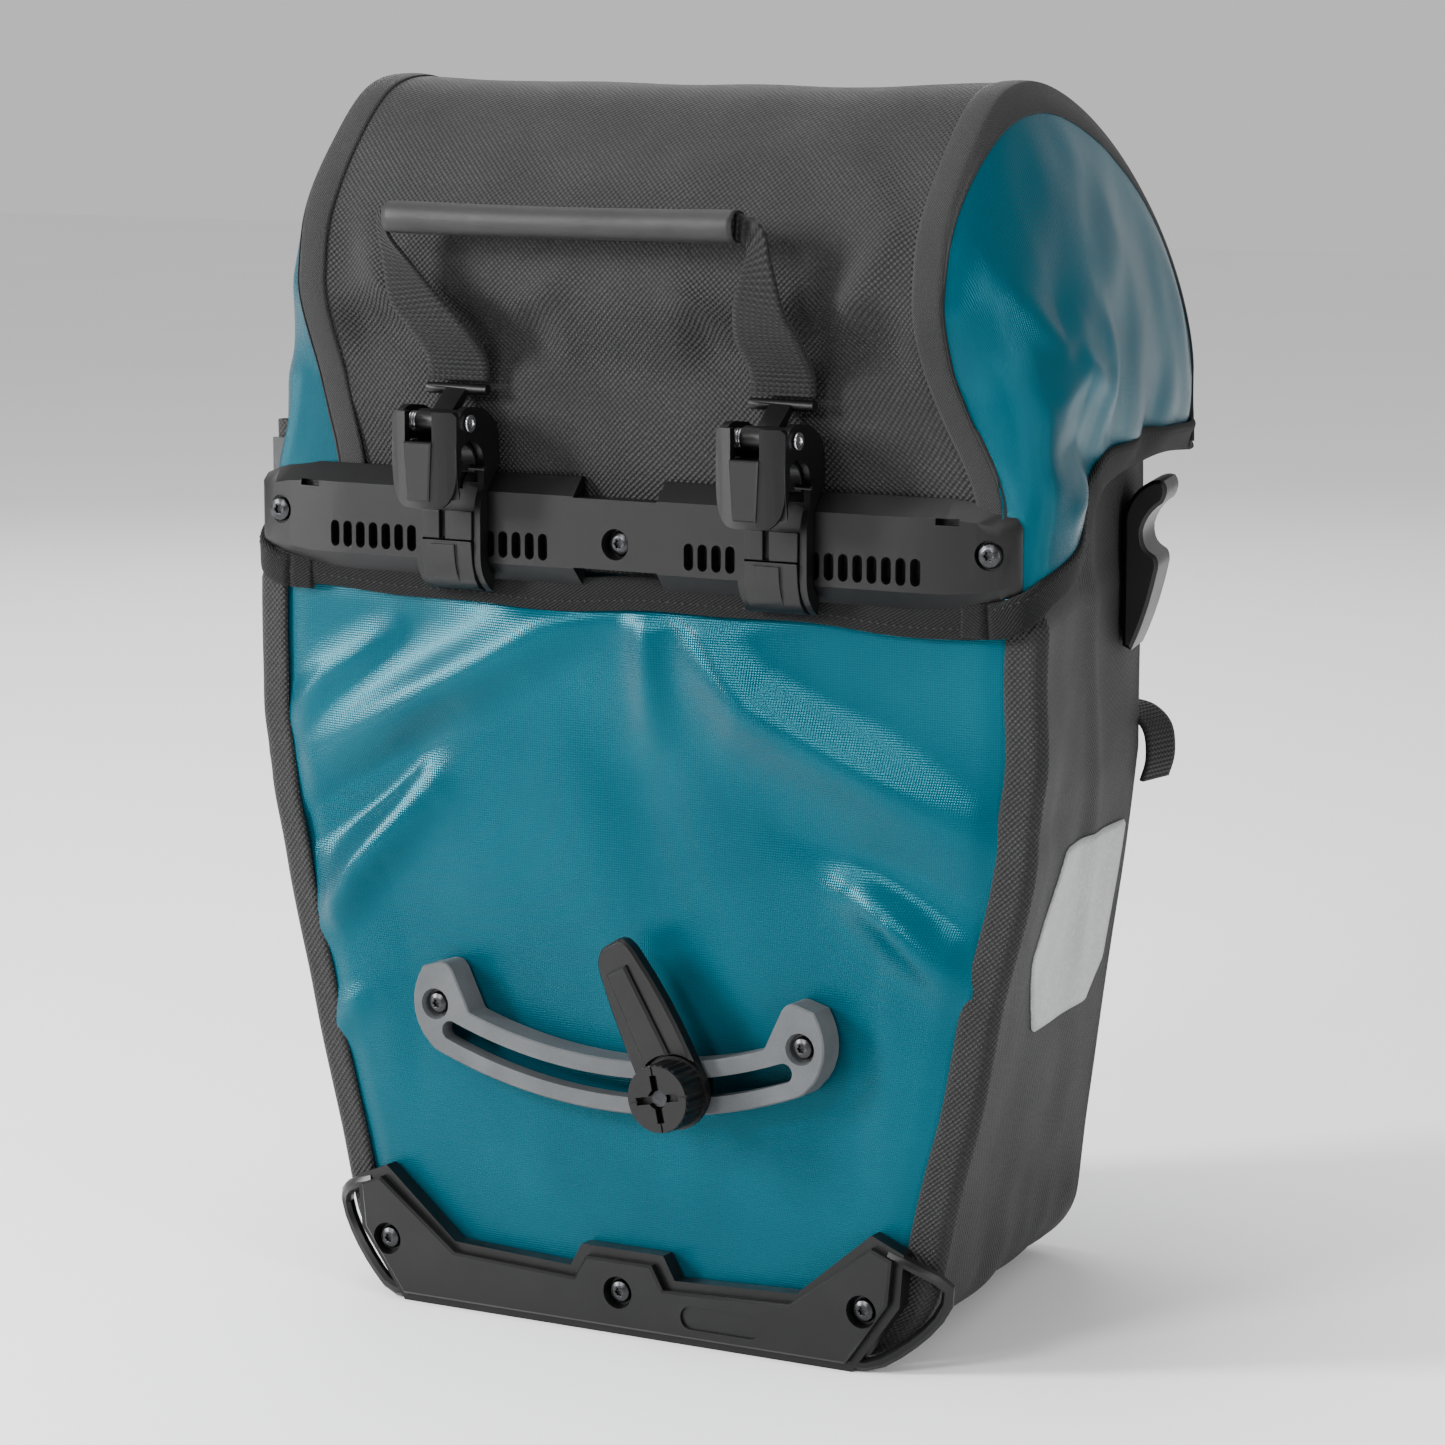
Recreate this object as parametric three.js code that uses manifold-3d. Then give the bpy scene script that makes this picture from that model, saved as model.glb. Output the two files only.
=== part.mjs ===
// Pannier bag with a hook-on rail, seen from its rack side.
// Millimetres, +Z up, +X along the rail. The rack side faces -Y.
import * as THREE from 'three';
import { mergeVertices } from 'three/addons/utils/BufferGeometryUtils.js';
import Module from 'manifold-3d';

const wasm = await Module();
wasm.setup();

// ---- Driving dimensions ----------------------------------------------------
// Inside the "bag" group y = 0 is the plane of the rear folds and y grows to the front.
const DEPTH = 165;
const ORIGIN_Y = -80;          // moves the bag so that the origin is under its middle
const CLOTH = 3;               // coated fabric with its lining, as a stiff sheet
const GAP = 0.3;               // clearance between touching pieces

const BACK_FACE = -6.5;        // outer face of the back panel, bulged past the folds
const BACK_HALF_BOTTOM = 106;
const BACK_HALF_TOP = 151.5;
const SHOULDER_Z = 185;        // height where the sides stop widening
const BODY_TOP = 310;
const FRONT_HALF_BOTTOM = 81;
const FRONT_HALF_TOP = 107;
const CORNER = 30;             // radius of the lower rear corners

const LID_BASE = 297;
const LID_HINGE = { y: -14, z: 317 };
const LID_HALF = 125;          // half width of the woven centre strip
const LID_BACK = -9.8;
const LID_FRONT = 171;
const LID_SPRING_Z = 318.5;    // where the arch of the lid starts
const LID_REAR_EDGE = 326;      // the stiff rear wall starts here; the cloth below it bends
const LID_TOP = 419;
const LID_CREST = 45;          // y of the lid's highest line
const LID_REAR_ROUND = 2.6;    // superellipse exponents of the arch behind and before the crest
const LID_FRONT_ROUND = 1.55;
const BINDING = 12;

const RAIL_HALF = 145.6;
const RAIL_STRAIGHT = 105;     // the ends bow back beyond this
const RAIL_BOW = 105;          // radius of that bow
const RAIL_Z = 271.5;
const RAIL_FACE = -16;
const RAIL_BACK = -8.7;
const RAIL_FACE_HALF = 12;
const RAIL_BASE_HALF = 18;
const RAIL_SCREW_X = 136;
const SLOT_PITCH = 5.2;
const SLOT_FIRST = 28;
const SLOT_COUNT = 17;
const SLOT_WIDTH = 3.6;
const SLOT_HEIGHT = 9;
const SLOT_DEPTH = 4.5;

const HOOK_X = 62;
const HOOK_HALF = 12.7;
const HOOK_WALL = 2.5;
const PIN = { y: -27.6, z: 307, r: 1.5 };
const MOUTH = { y: -26.45, z: 293, r: 8.05 };
const SHIELD_FRONT = -37.5;
const SHIELD_BOTTOM = 279;
const SHIELD_TOP = 311;
const TBAR = { y: -14, z: 317, r: 1.9, half: 11.8 };

const GRIP = { x: -11, y: -31, z: 374.5, r: 5.4, length: 133 };
const WEBBING = 24;

const ARC_R = 186;             // slot centreline, struck from the rail
const ARC_Z = 273;
const ARC_SLOT_HALF_ANGLE = 21;
const ARC_BAND = 9;
const ARC_SLOT = 3.3;
const TRACK_FACE = -18;
const TRACK_BACK = -6.9;
const TRACK_SCREW = { x: 71, z: 107.3 };
const CARRIAGE_ANGLE = 8.35;   // rest place of the bolt along the arc
const FIN_LEAN = 27.5;
const FIN_LENGTH = 54;
const KNOB_R = 11.5;

const GUARD_FACE = -16;
const GUARD_SCREW = { x: 93, z: 21.8, centreZ: 15.4 };

const STRAP_X = 68;            // front closure straps
const SCREW_HOLE = 2.4;

// ---- Finishes ----------------------------------------------------------------
const finish = (color, roughness, metalness = 0) => ({ color, roughness, metalness });
const TEAL = finish(0x0a6e8c, 0.32);
const WEAVE = finish(0x2a2a2c, 0.85);
const TAPE = finish(0x1f1f21, 0.8);
const PLASTIC = finish(0x1b1c1e, 0.55);
const GREY_PLASTIC = finish(0x64676a, 0.5);
const STEEL = finish(0xb8babd, 0.3, 1);
const DARK_STEEL = finish(0x1d1e20, 0.35, 0.8);
const RUBBER = finish(0x222325, 0.7);
const BOARD = finish(0x3a3c3f, 0.7);
const SILVER = finish(0xa9acae, 0.45);

// ---- Placing and cutting helpers ---------------------------------------------
const bag = new THREE.Group();
bag.position.y = ORIGIN_Y;

function add(name, geometry, look) {
  const mesh = new THREE.Mesh(geometry, new THREE.MeshStandardMaterial(look));
  mesh.name = name;
  bag.add(mesh);
  return mesh;
}

function bare(geometry) {
  const clean = new THREE.BufferGeometry();
  const source = geometry.index ? geometry.toNonIndexed() : geometry;
  clean.setAttribute('position', source.getAttribute('position').clone());
  return mergeVertices(clean, 1e-4);
}

function solid(geometry) {
  const clean = bare(geometry);
  const vertProperties = new Float32Array(clean.getAttribute('position').array);
  const triVerts = new Uint32Array(clean.index.array);
  return new wasm.Manifold(new wasm.Mesh({ numProp: 3, vertProperties, triVerts }));
}

function geometryOf(manifold) {
  const mesh = manifold.getMesh();
  const geometry = new THREE.BufferGeometry();
  geometry.setAttribute('position', new THREE.BufferAttribute(mesh.vertProperties, 3));
  geometry.setIndex(new THREE.BufferAttribute(mesh.triVerts, 1));
  return geometry;
}

const cut = (base, tools) => geometryOf(tools.reduce((m, t) => m.subtract(solid(t)), solid(base)));
const join = (parts) => geometryOf(parts.slice(1).reduce((m, p) => m.add(solid(p)), solid(parts[0])));
const common = (a, b) => geometryOf(solid(a).intersect(solid(b)));

function mirrored(geometry) {
  const copy = bare(geometry);
  const position = copy.getAttribute('position');
  for (let i = 0; i < position.count; i += 1) position.setX(i, -position.getX(i));
  const index = copy.index.array;
  for (let i = 0; i < index.length; i += 3) [index[i], index[i + 1]] = [index[i + 1], index[i]];
  return copy;
}

const shapeOf = (points) => new THREE.Shape(points.map(([a, b]) => new THREE.Vector2(a, b)));

function extrude(shape, depth, bevel = 0, curve = 5) {
  return new THREE.ExtrudeGeometry(shape, {
    depth: depth - 2 * bevel,
    bevelEnabled: bevel > 0,
    bevelThickness: bevel,
    bevelSize: bevel,
    bevelOffset: -bevel,
    bevelSegments: 1,
    curveSegments: curve,
    steps: 1,
  }).translate(0, 0, bevel);
}

// An outline in (x, z), standing between two y planes.
function plateXZ(shape, front, back, bevel = 0, curve = 5) {
  const turn = new THREE.Matrix4().makeBasis(
    new THREE.Vector3(1, 0, 0), new THREE.Vector3(0, 0, 1), new THREE.Vector3(0, -1, 0));
  return extrude(shape, back - front, bevel, curve).applyMatrix4(turn).translate(0, back, 0);
}

// An outline in (y, z), between two x planes.
function plateYZ(shape, left, right, bevel = 0) {
  const turn = new THREE.Matrix4().makeBasis(
    new THREE.Vector3(0, 1, 0), new THREE.Vector3(0, 0, 1), new THREE.Vector3(1, 0, 0));
  return extrude(shape, right - left, bevel).applyMatrix4(turn).translate(left, 0, 0);
}

const block = (x0, x1, y0, y1, z0, z1) => new THREE.BoxGeometry(x1 - x0, y1 - y0, z1 - z0)
  .translate((x0 + x1) / 2, (y0 + y1) / 2, (z0 + z1) / 2);

const rodX = (x0, x1, y, z, r, sides = 16) => new THREE.CylinderGeometry(r, r, x1 - x0, sides)
  .rotateZ(Math.PI / 2).translate((x0 + x1) / 2, y, z);

const rodY = (y0, y1, x, z, r, sides = 16, rBack = r) => new THREE.CylinderGeometry(rBack, r, y1 - y0, sides)
  .translate(x, (y0 + y1) / 2, z);

// A sheet whose outer face is a list of points and whose inner face is set back along one vector.
function sheet(outer, back) {
  const count = outer.length;
  const points = [...outer, ...outer.map((p) => p.clone().add(back))];
  const index = [];
  for (let i = 1; i < count - 1; i += 1) {
    index.push(0, i, i + 1);
    index.push(count, count + i + 1, count + i);
  }
  for (let i = 0; i < count; i += 1) {
    const j = (i + 1) % count;
    index.push(i, count + i, j);
    index.push(j, count + i, count + j);
  }
  const geometry = new THREE.BufferGeometry().setFromPoints(points);
  geometry.setIndex(index);
  return geometry;
}

// Rings of equal length, skinned one after another and closed by a fan at each end.
function loft(rings) {
  const size = rings[0].length;
  const points = rings.flat();
  const index = [];
  for (let r = 0; r < rings.length - 1; r += 1) {
    for (let i = 0; i < size; i += 1) {
      const a = r * size + i;
      const b = r * size + (i + 1) % size;
      index.push(a, b, a + size);
      index.push(b, b + size, a + size);
    }
  }
  const last = (rings.length - 1) * size;
  for (let i = 1; i < size - 1; i += 1) {
    index.push(0, i + 1, i);
    index.push(last, last + i, last + i + 1);
  }
  const geometry = new THREE.BufferGeometry().setFromPoints(points);
  geometry.setIndex(index);
  return geometry;
}

function tube(points, radius, steps, sides = 8) {
  const section = new THREE.Shape().absarc(0, 0, radius, 0, Math.PI * 2);
  return new THREE.ExtrudeGeometry(section, {
    steps,
    curveSegments: sides / 2,
    bevelEnabled: false,
    extrudePath: new THREE.CatmullRomCurve3(points.map((p) => new THREE.Vector3(...p))),
  });
}

// ---- Bag body ----------------------------------------------------------------
const widen = THREE.MathUtils.mapLinear;
const backHalf = (z) => widen(Math.min(z, SHOULDER_Z), 0, SHOULDER_Z, BACK_HALF_BOTTOM, BACK_HALF_TOP);
const frontHalf = (z) => widen(Math.min(z, SHOULDER_Z), 0, SHOULDER_Z, FRONT_HALF_BOTTOM, FRONT_HALF_TOP);

// Places where the rail, the track and the guard are screwed through the back.
const SCREWS = {
  rail: [[-RAIL_SCREW_X, 272.5], [0, 268.4], [RAIL_SCREW_X, 272.5]],
  track: [[-TRACK_SCREW.x, TRACK_SCREW.z], [TRACK_SCREW.x, TRACK_SCREW.z]],
  guard: [[-GUARD_SCREW.x, GUARD_SCREW.z], [0, GUARD_SCREW.centreZ], [GUARD_SCREW.x, GUARD_SCREW.z]],
};

function drill(shape, places) {
  for (const [x, z] of places) {
    shape.holes.push(new THREE.Path().absarc(x, z, SCREW_HOLE, 0, Math.PI * 2, true));
  }
  return shape;
}

function backOutline(top, inset) {
  const half = (z) => backHalf(z) - inset;
  const shape = new THREE.Shape();
  shape.moveTo(-half(top), top);
  shape.lineTo(-half(SHOULDER_Z), SHOULDER_Z);
  shape.lineTo(-half(CORNER), CORNER + inset);
  shape.quadraticCurveTo(-half(0), inset + 2, -half(0) + CORNER, inset + 1);
  shape.lineTo(half(0) - CORNER, inset + 1);
  shape.quadraticCurveTo(half(0), inset + 2, half(CORNER), CORNER + inset);
  shape.lineTo(half(SHOULDER_Z), SHOULDER_Z);
  shape.lineTo(half(top), top);
  return shape;
}

const GUSSET = { near: BACK_FACE + CLOTH + GAP, far: DEPTH - CLOTH - GAP, backLow: 26, frontLow: 10 };

function makeBody() {
  const everyScrew = [...SCREWS.rail, ...SCREWS.track, ...SCREWS.guard];
  const back = drill(backOutline(BODY_TOP + 4, 3), everyScrew);
  add('back_panel', plateXZ(back, BACK_FACE, BACK_FACE + CLOTH), TEAL);

  const boardFace = BACK_FACE + CLOTH + GAP;
  const board = drill(backOutline(BODY_TOP - 14, 6), everyScrew);
  add('back_stiffener', plateXZ(board, boardFace, boardFace + 1.6), BOARD);

  const frontShape = shapeOf([
    [-frontHalf(CORNER / 3), CORNER / 3], [-FRONT_HALF_BOTTOM + 12, 4],
    [FRONT_HALF_BOTTOM - 12, 4], [frontHalf(CORNER / 3), CORNER / 3],
    [frontHalf(SHOULDER_Z), SHOULDER_Z], [FRONT_HALF_TOP, BODY_TOP],
    [-FRONT_HALF_TOP, BODY_TOP], [-frontHalf(SHOULDER_Z), SHOULDER_Z],
  ]);
  add('front_panel', plateXZ(frontShape, DEPTH - CLOTH, DEPTH), TEAL);

  const { near, far, backLow, frontLow } = GUSSET;
  const right = sheet([
    new THREE.Vector3(BACK_HALF_TOP, near, SHOULDER_Z),
    new THREE.Vector3(backHalf(backLow), near, backLow),
    new THREE.Vector3(frontHalf(frontLow), far, frontLow),
    new THREE.Vector3(FRONT_HALF_TOP, far, SHOULDER_Z),
    new THREE.Vector3(FRONT_HALF_TOP, far, BODY_TOP),
    new THREE.Vector3(BACK_HALF_TOP, near, BODY_TOP),
  ], new THREE.Vector3(-CLOTH, 0, 0));
  add('side_gusset_right', right, WEAVE);
  add('side_gusset_left', mirrored(right), WEAVE);

  const floor = shapeOf([
    [-BACK_HALF_BOTTOM + 18, near], [BACK_HALF_BOTTOM - 18, near],
    [FRONT_HALF_BOTTOM - 8, far], [-FRONT_HALF_BOTTOM + 8, far],
  ]);
  add('bottom_panel', extrude(floor, CLOTH), WEAVE);
}

// The strip inside the bag that the rail is screwed to.
function makeBacking() {
  const face = BACK_FACE + CLOTH + GAP + 1.6 + GAP;
  const shape = shapeOf([[-141, 262], [141, 262], [141, 280], [-141, 280]]);
  add('rail_backing_strip', plateXZ(drill(shape, SCREWS.rail), face, face + 2.5), BOARD);
}

// ---- Lid -----------------------------------------------------------------------
// Two quarter superellipses, from the rear wall up to the crest and down to the front wall.
function arch(inset, steps) {
  const rise = LID_TOP - LID_SPRING_Z - inset;
  const points = [];
  for (let i = 0; i <= steps; i += 1) {
    const t = Math.PI * (1 - i / steps);
    const c = Math.cos(t);
    const power = 2 / (c > 0 ? LID_FRONT_ROUND : LID_REAR_ROUND);
    const reach = (c > 0 ? LID_FRONT - LID_CREST : LID_CREST - LID_BACK) - inset;
    const y = LID_CREST + reach * Math.sign(c) * Math.abs(c) ** power;
    const z = LID_SPRING_Z + rise * Math.abs(Math.sin(t)) ** power;
    points.push([y, z]);
  }
  return points;
}

const lidSideX = (y, z) => 158 - 0.2 * Math.max(y, -10) - 0.15 * (z - LID_BASE);

function makeLid() {
  const outer = arch(0, 20);
  const inner = arch(CLOTH, 20).reverse();
  outer[0][1] = LID_REAR_EDGE;
  inner[inner.length - 1][1] = LID_REAR_EDGE;
  const cover = shapeOf([
    ...outer, [LID_FRONT, LID_BASE], [LID_FRONT - CLOTH, LID_BASE], ...inner,
  ]);
  add('lid_cover', plateYZ(cover, -LID_HALF, LID_HALF), WEAVE);

  const rim = [...arch(CLOTH + GAP, 12), [LID_FRONT - CLOTH - GAP, LID_BASE], [2, LID_BASE]];
  const face = rim.map(([y, z]) => new THREE.Vector3(lidSideX(y, z), y, z)).reverse();
  const right = sheet(face, new THREE.Vector3(-CLOTH, 0, 0));
  add('lid_side_right', mirrored(mirrored(right)), TEAL);
  add('lid_side_left', mirrored(right), TEAL);

  const top = LID_BASE - GAP;
  const frontTape = block(-LID_HALF + 8, LID_HALF - 8, LID_FRONT - CLOTH, LID_FRONT, top - BINDING, top);
  add('lid_binding_front', frontTape, TAPE);
  const y1 = LID_FRONT - CLOTH - GAP;
  const edge = [[2, top], [2, top - BINDING], [y1, top - BINDING], [y1, top]];
  const sideTape = sheet(
    edge.map(([y, z]) => new THREE.Vector3(lidSideX(y, LID_BASE), y, z)),
    new THREE.Vector3(-CLOTH, 0, 0));
  add('lid_binding_right', sideTape, TAPE);
  add('lid_binding_left', mirrored(sideTape), TAPE);
}

// The lid cloth runs down behind the rail, where the rail screws hold it.
function makeBackFlap() {
  const flap = shapeOf([
    [-118, LID_HINGE.z - 2], [-BACK_HALF_TOP + 4, 292], [-BACK_HALF_TOP + 4, 262],
    [-140, 258], [140, 258], [BACK_HALF_TOP - 4, 262], [BACK_HALF_TOP - 4, 292], [118, LID_HINGE.z - 2],
  ]);
  add('lid_back_flap', plateXZ(drill(flap, SCREWS.rail), -8.3, -6.8), WEAVE);
  const tape = shapeOf([[-136, 257.7], [-130, 247], [130, 247], [136, 257.7]]);
  add('flap_binding', plateXZ(tape, -8.3, -6.8), TAPE);
}

// ---- Rail ----------------------------------------------------------------------
const bowAt = (x) => {
  const past = Math.max(0, Math.abs(x) - RAIL_STRAIGHT);
  return RAIL_BOW - Math.sqrt(RAIL_BOW * RAIL_BOW - past * past);
};

function railRing(x, height, front) {
  const base = RAIL_BASE_HALF * height;
  const face = RAIL_FACE_HALF * height;
  const dy = bowAt(x) * 0.75;
  const section = [
    [RAIL_BACK, -base], [RAIL_BACK, base], [RAIL_BACK - 1.6, base],
    [front, face], [front, -face], [RAIL_BACK - 1.6, -base],
  ];
  return section.map(([y, z]) => new THREE.Vector3(x, Math.min(y + dy, RAIL_BACK), RAIL_Z + z));
}

function roundSlot(x, z, width, height) {
  const r = width / 2;
  const shape = new THREE.Shape();
  shape.absarc(x, z + height / 2 - r, r, 0, Math.PI);
  shape.absarc(x, z - height / 2 + r, r, Math.PI, Math.PI * 2);
  return shape;
}

function makeRail() {
  const half = [
    [RAIL_HALF, 0.56, RAIL_FACE + 1.6], [RAIL_HALF - 2, 0.72, RAIL_FACE], [RAIL_HALF - 7, 0.83, RAIL_FACE],
    [RAIL_HALF - 14, 0.93, RAIL_FACE], [RAIL_HALF - 24, 1, RAIL_FACE], [112, 1, RAIL_FACE],
    [RAIL_STRAIGHT, 1, RAIL_FACE],
  ];
  const left = half.map(([x, height, front]) => railRing(-x, height, front));
  const right = half.map(([x, height, front]) => railRing(x, height, front)).reverse();
  const bar = loft([...left, ...right]);
  const tools = [];
  for (const side of [-1, 1]) {
    for (let i = 0; i < SLOT_COUNT; i += 1) {
      const slot = roundSlot(side * (SLOT_FIRST + i * SLOT_PITCH), RAIL_Z - 5.5, SLOT_WIDTH, SLOT_HEIGHT);
      tools.push(plateXZ(slot, RAIL_FACE - 1, RAIL_FACE + SLOT_DEPTH, 0, 3));
    }
    const notch = side * 122;
    tools.push(block(notch - 4, notch + 4, RAIL_FACE - 1, -11.5, RAIL_Z + 10, RAIL_Z + 12.2));
  }
  for (const [x, z] of SCREWS.rail) {
    tools.push(rodY(RAIL_FACE - 2, RAIL_FACE + 4.6, x, z, 5.4, 20, 4.8));
    tools.push(rodY(RAIL_FACE, RAIL_BACK + 3, x, z, SCREW_HOLE, 12));
  }
  const shoulder = 16;
  tools.push(block(-shoulder, shoulder, -30, 0, RAIL_Z + RAIL_FACE_HALF - 0.4, RAIL_Z + 30));
  tools.push(block(-shoulder, shoulder, -30, 0, RAIL_Z - 30, RAIL_Z - RAIL_FACE_HALF + 0.4));
  add('rail', cut(bar, tools), PLASTIC);
}

// ---- Screws ----------------------------------------------------------------------
// Domed head with a six-point recess, and a plain shank.
function screw(x, z, headFront, headR, tip) {
  const turnSection = [
    [0, 0], [headR * 0.55, 0], [headR * 0.9, 0.7], [headR, 1.7], [headR, 2.4],
    [1.9, 2.4], [1.9, tip - headFront], [0, tip - headFront],
  ];
  const lathe = new THREE.LatheGeometry(turnSection.map(([r, d]) => new THREE.Vector2(r, d)), 12);
  lathe.translate(x, headFront, z);
  const star = new THREE.Shape();
  const points = 12;
  for (let i = 0; i < points; i += 1) {
    const r = headR * (i % 2 ? 0.27 : 0.42);
    const a = (i * Math.PI * 2) / points;
    const method = i ? 'lineTo' : 'moveTo';
    star[method](x + r * Math.cos(a), z + r * Math.sin(a));
  }
  return cut(lathe, [plateXZ(star, headFront - 1, headFront + 1.4)]);
}

function makeScrews() {
  const tip = 0.4;
  const rows = [
    ['rail', RAIL_FACE + 2, 4.2], ['track', TRACK_FACE + 0.8, 3.9], ['guard', GUARD_FACE + 0.8, 4],
  ];
  for (const [part, headFront, headR] of rows) {
    for (const [x, z] of SCREWS[part]) {
      const side = x < 0 ? 'left' : (x > 0 ? 'right' : 'centre');
      add(`${part}_screw_${side}`, screw(x, z, headFront, headR, tip), DARK_STEEL);
    }
  }
}

// ---- Arc track -----------------------------------------------------------------
const deg = THREE.MathUtils.degToRad;
const arcPoint = (angle, r = ARC_R) => [r * Math.sin(deg(angle)), ARC_Z - r * Math.cos(deg(angle))];

// A band between two radii about the rail, closed by a round end.
function arcBand(half, angle) {
  const shape = new THREE.Shape();
  const from = -Math.PI / 2 - deg(angle);
  const to = -Math.PI / 2 + deg(angle);
  const [rightX, rightZ] = arcPoint(angle);
  const [leftX, leftZ] = arcPoint(-angle);
  shape.absarc(0, ARC_Z, ARC_R + half, from, to, false);
  shape.absarc(rightX, rightZ, half, to, to + Math.PI, false);
  shape.absarc(0, ARC_Z, ARC_R - half, to, from, true);
  shape.absarc(leftX, leftZ, half, from + Math.PI, from + 2 * Math.PI, false);
  return shape;
}

function trackLobe(side) {
  const x = (v) => side * v;
  const shape = new THREE.Shape();
  shape.moveTo(x(46), 96);
  shape.lineTo(x(57.5), 106);
  shape.lineTo(x(64), 119.5);
  shape.quadraticCurveTo(x(66), 122.5, x(69), 122);
  shape.lineTo(x(76), 120);
  shape.quadraticCurveTo(x(81), 112, x(79.5), 104);
  shape.quadraticCurveTo(x(77), 93, x(66), 89.5);
  shape.lineTo(x(52), 88);
  return shape;
}

function makeTrack() {
  const band = plateXZ(arcBand(ARC_BAND, ARC_SLOT_HALF_ANGLE), TRACK_FACE, TRACK_BACK, 0.5, 12);
  const lobes = [-1, 1].map((side) => plateXZ(trackLobe(side), TRACK_FACE, TRACK_BACK, 0.5));
  const tools = [
    plateXZ(arcBand(ARC_SLOT, ARC_SLOT_HALF_ANGLE - 0.6), TRACK_FACE - 1, TRACK_BACK + 1, 0, 12),
    plateXZ(arcBand(6.6, ARC_SLOT_HALF_ANGLE - 0.6), TRACK_FACE + 6, TRACK_BACK + 1, 0, 12),
  ];
  for (const [x, z] of SCREWS.track) {
    tools.push(rodY(TRACK_FACE - 1, TRACK_FACE + 3.6, x, z, 5.6, 20, 4.6));
    tools.push(rodY(TRACK_FACE, TRACK_BACK + 1, x, z, SCREW_HOLE, 12));
  }
  add('arc_track', cut(join([band, ...lobes]), tools), GREY_PLASTIC);
}

// ---- Lower hook: bolt, fin and knob ----------------------------------------------
function aboutBolt(geometry, turn = 0) {
  const [x, z] = arcPoint(CARRIAGE_ANGLE);
  return geometry.rotateY(-deg(turn)).translate(x, 0, z);
}

function makeLowerHook() {
  const head = block(-5.6, 5.6, TRACK_FACE + 6.4, TRACK_FACE + 9.8, -5.6, 5.6);
  const shank = rodY(-33.6, TRACK_FACE + 8, 0, 0, 2.9);
  add('carriage_bolt', aboutBolt(join([head, shank]), 0), STEEL);

  const finBack = TRACK_FACE - GAP;
  const blade = new THREE.Shape();
  blade.moveTo(-11.5, 0);
  blade.quadraticCurveTo(-11.5, 28, -8.5, FIN_LENGTH - 7);
  blade.quadraticCurveTo(-7, FIN_LENGTH - 1.5, -3, FIN_LENGTH - 0.5);
  blade.lineTo(3.5, FIN_LENGTH);
  blade.quadraticCurveTo(7, FIN_LENGTH - 1, 8, FIN_LENGTH - 9);
  blade.quadraticCurveTo(12, 26, 11.5, 0);
  blade.absarc(0, 0, 11.5, 0, Math.PI, true);
  const leaf = plateXZ(blade, finBack - 6, finBack, 1);
  const rib = plateXZ(
    shapeOf([[-5.6, 8], [5, 8], [3, FIN_LENGTH - 9], [-5.2, FIN_LENGTH - 9]]), finBack - 7.6, finBack - 4, 0.8);
  const recess = rodY(-60, finBack - 3.6, 0, 0, 13.2, 32);
  const bore = rodY(-60, 0, 0, 0, 3.2);
  add('fin', aboutBolt(cut(join([leaf, rib]), [recess, bore]), FIN_LEAN), PLASTIC);

  const knobBack = finBack - 3.6 - GAP;
  const rim = new THREE.Shape();
  const teeth = 30;
  for (let i = 0; i < teeth * 2; i += 1) {
    const r = KNOB_R - (i % 2 ? 0.55 : 0);
    const a = (i * Math.PI) / teeth;
    rim[i ? 'lineTo' : 'moveTo'](r * Math.cos(a), r * Math.sin(a));
  }
  const grip = plateXZ(rim, knobBack - 12.4, knobBack - 1.4);
  const cap = rodY(knobBack - 13, knobBack - 12, 0, 0, KNOB_R - 0.4, 36, KNOB_R - 0.4);
  const flange = rodY(knobBack - 2, knobBack, 0, 0, 12.4, 36);
  const face = knobBack - 14;
  const slots = [
    block(-8, 8, face, knobBack - 10, -1.3, 1.3), block(-1.3, 1.3, face, knobBack - 10, -8, 8),
    rodY(face, knobBack - 9, 0, 0, 3.4, 12),
    block(-20, 20, face, knobBack - 12.5, -0.35, 0.35), block(-0.35, 0.35, face, knobBack - 12.5, -20, 20),
  ];
  const knobBore = rodY(knobBack - 9.4, 0, 0, 0, 3.2);
  add('knob', aboutBolt(cut(join([grip, cap, flange]), [...slots, knobBore]), 12), PLASTIC);
}

// ---- Bottom guard ----------------------------------------------------------------
function guardOutline(inset) {
  const half = (s) => [
    [s * (16 - inset), 29.5 - inset], [s * (20.5 - inset), 21.5 - inset], [s * (67 - inset * 0.4), 23.5 - inset],
    [s * (95 + inset * 0.3), 47 - inset * 1.2], [s * (107 - inset), 42 - inset * 0.6],
    [s * (105.5 - inset), 24 + inset * 0.3], [s * (88 - inset * 0.4), inset],
  ];
  return shapeOf([...half(1), ...half(-1).reverse()]);
}

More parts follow.
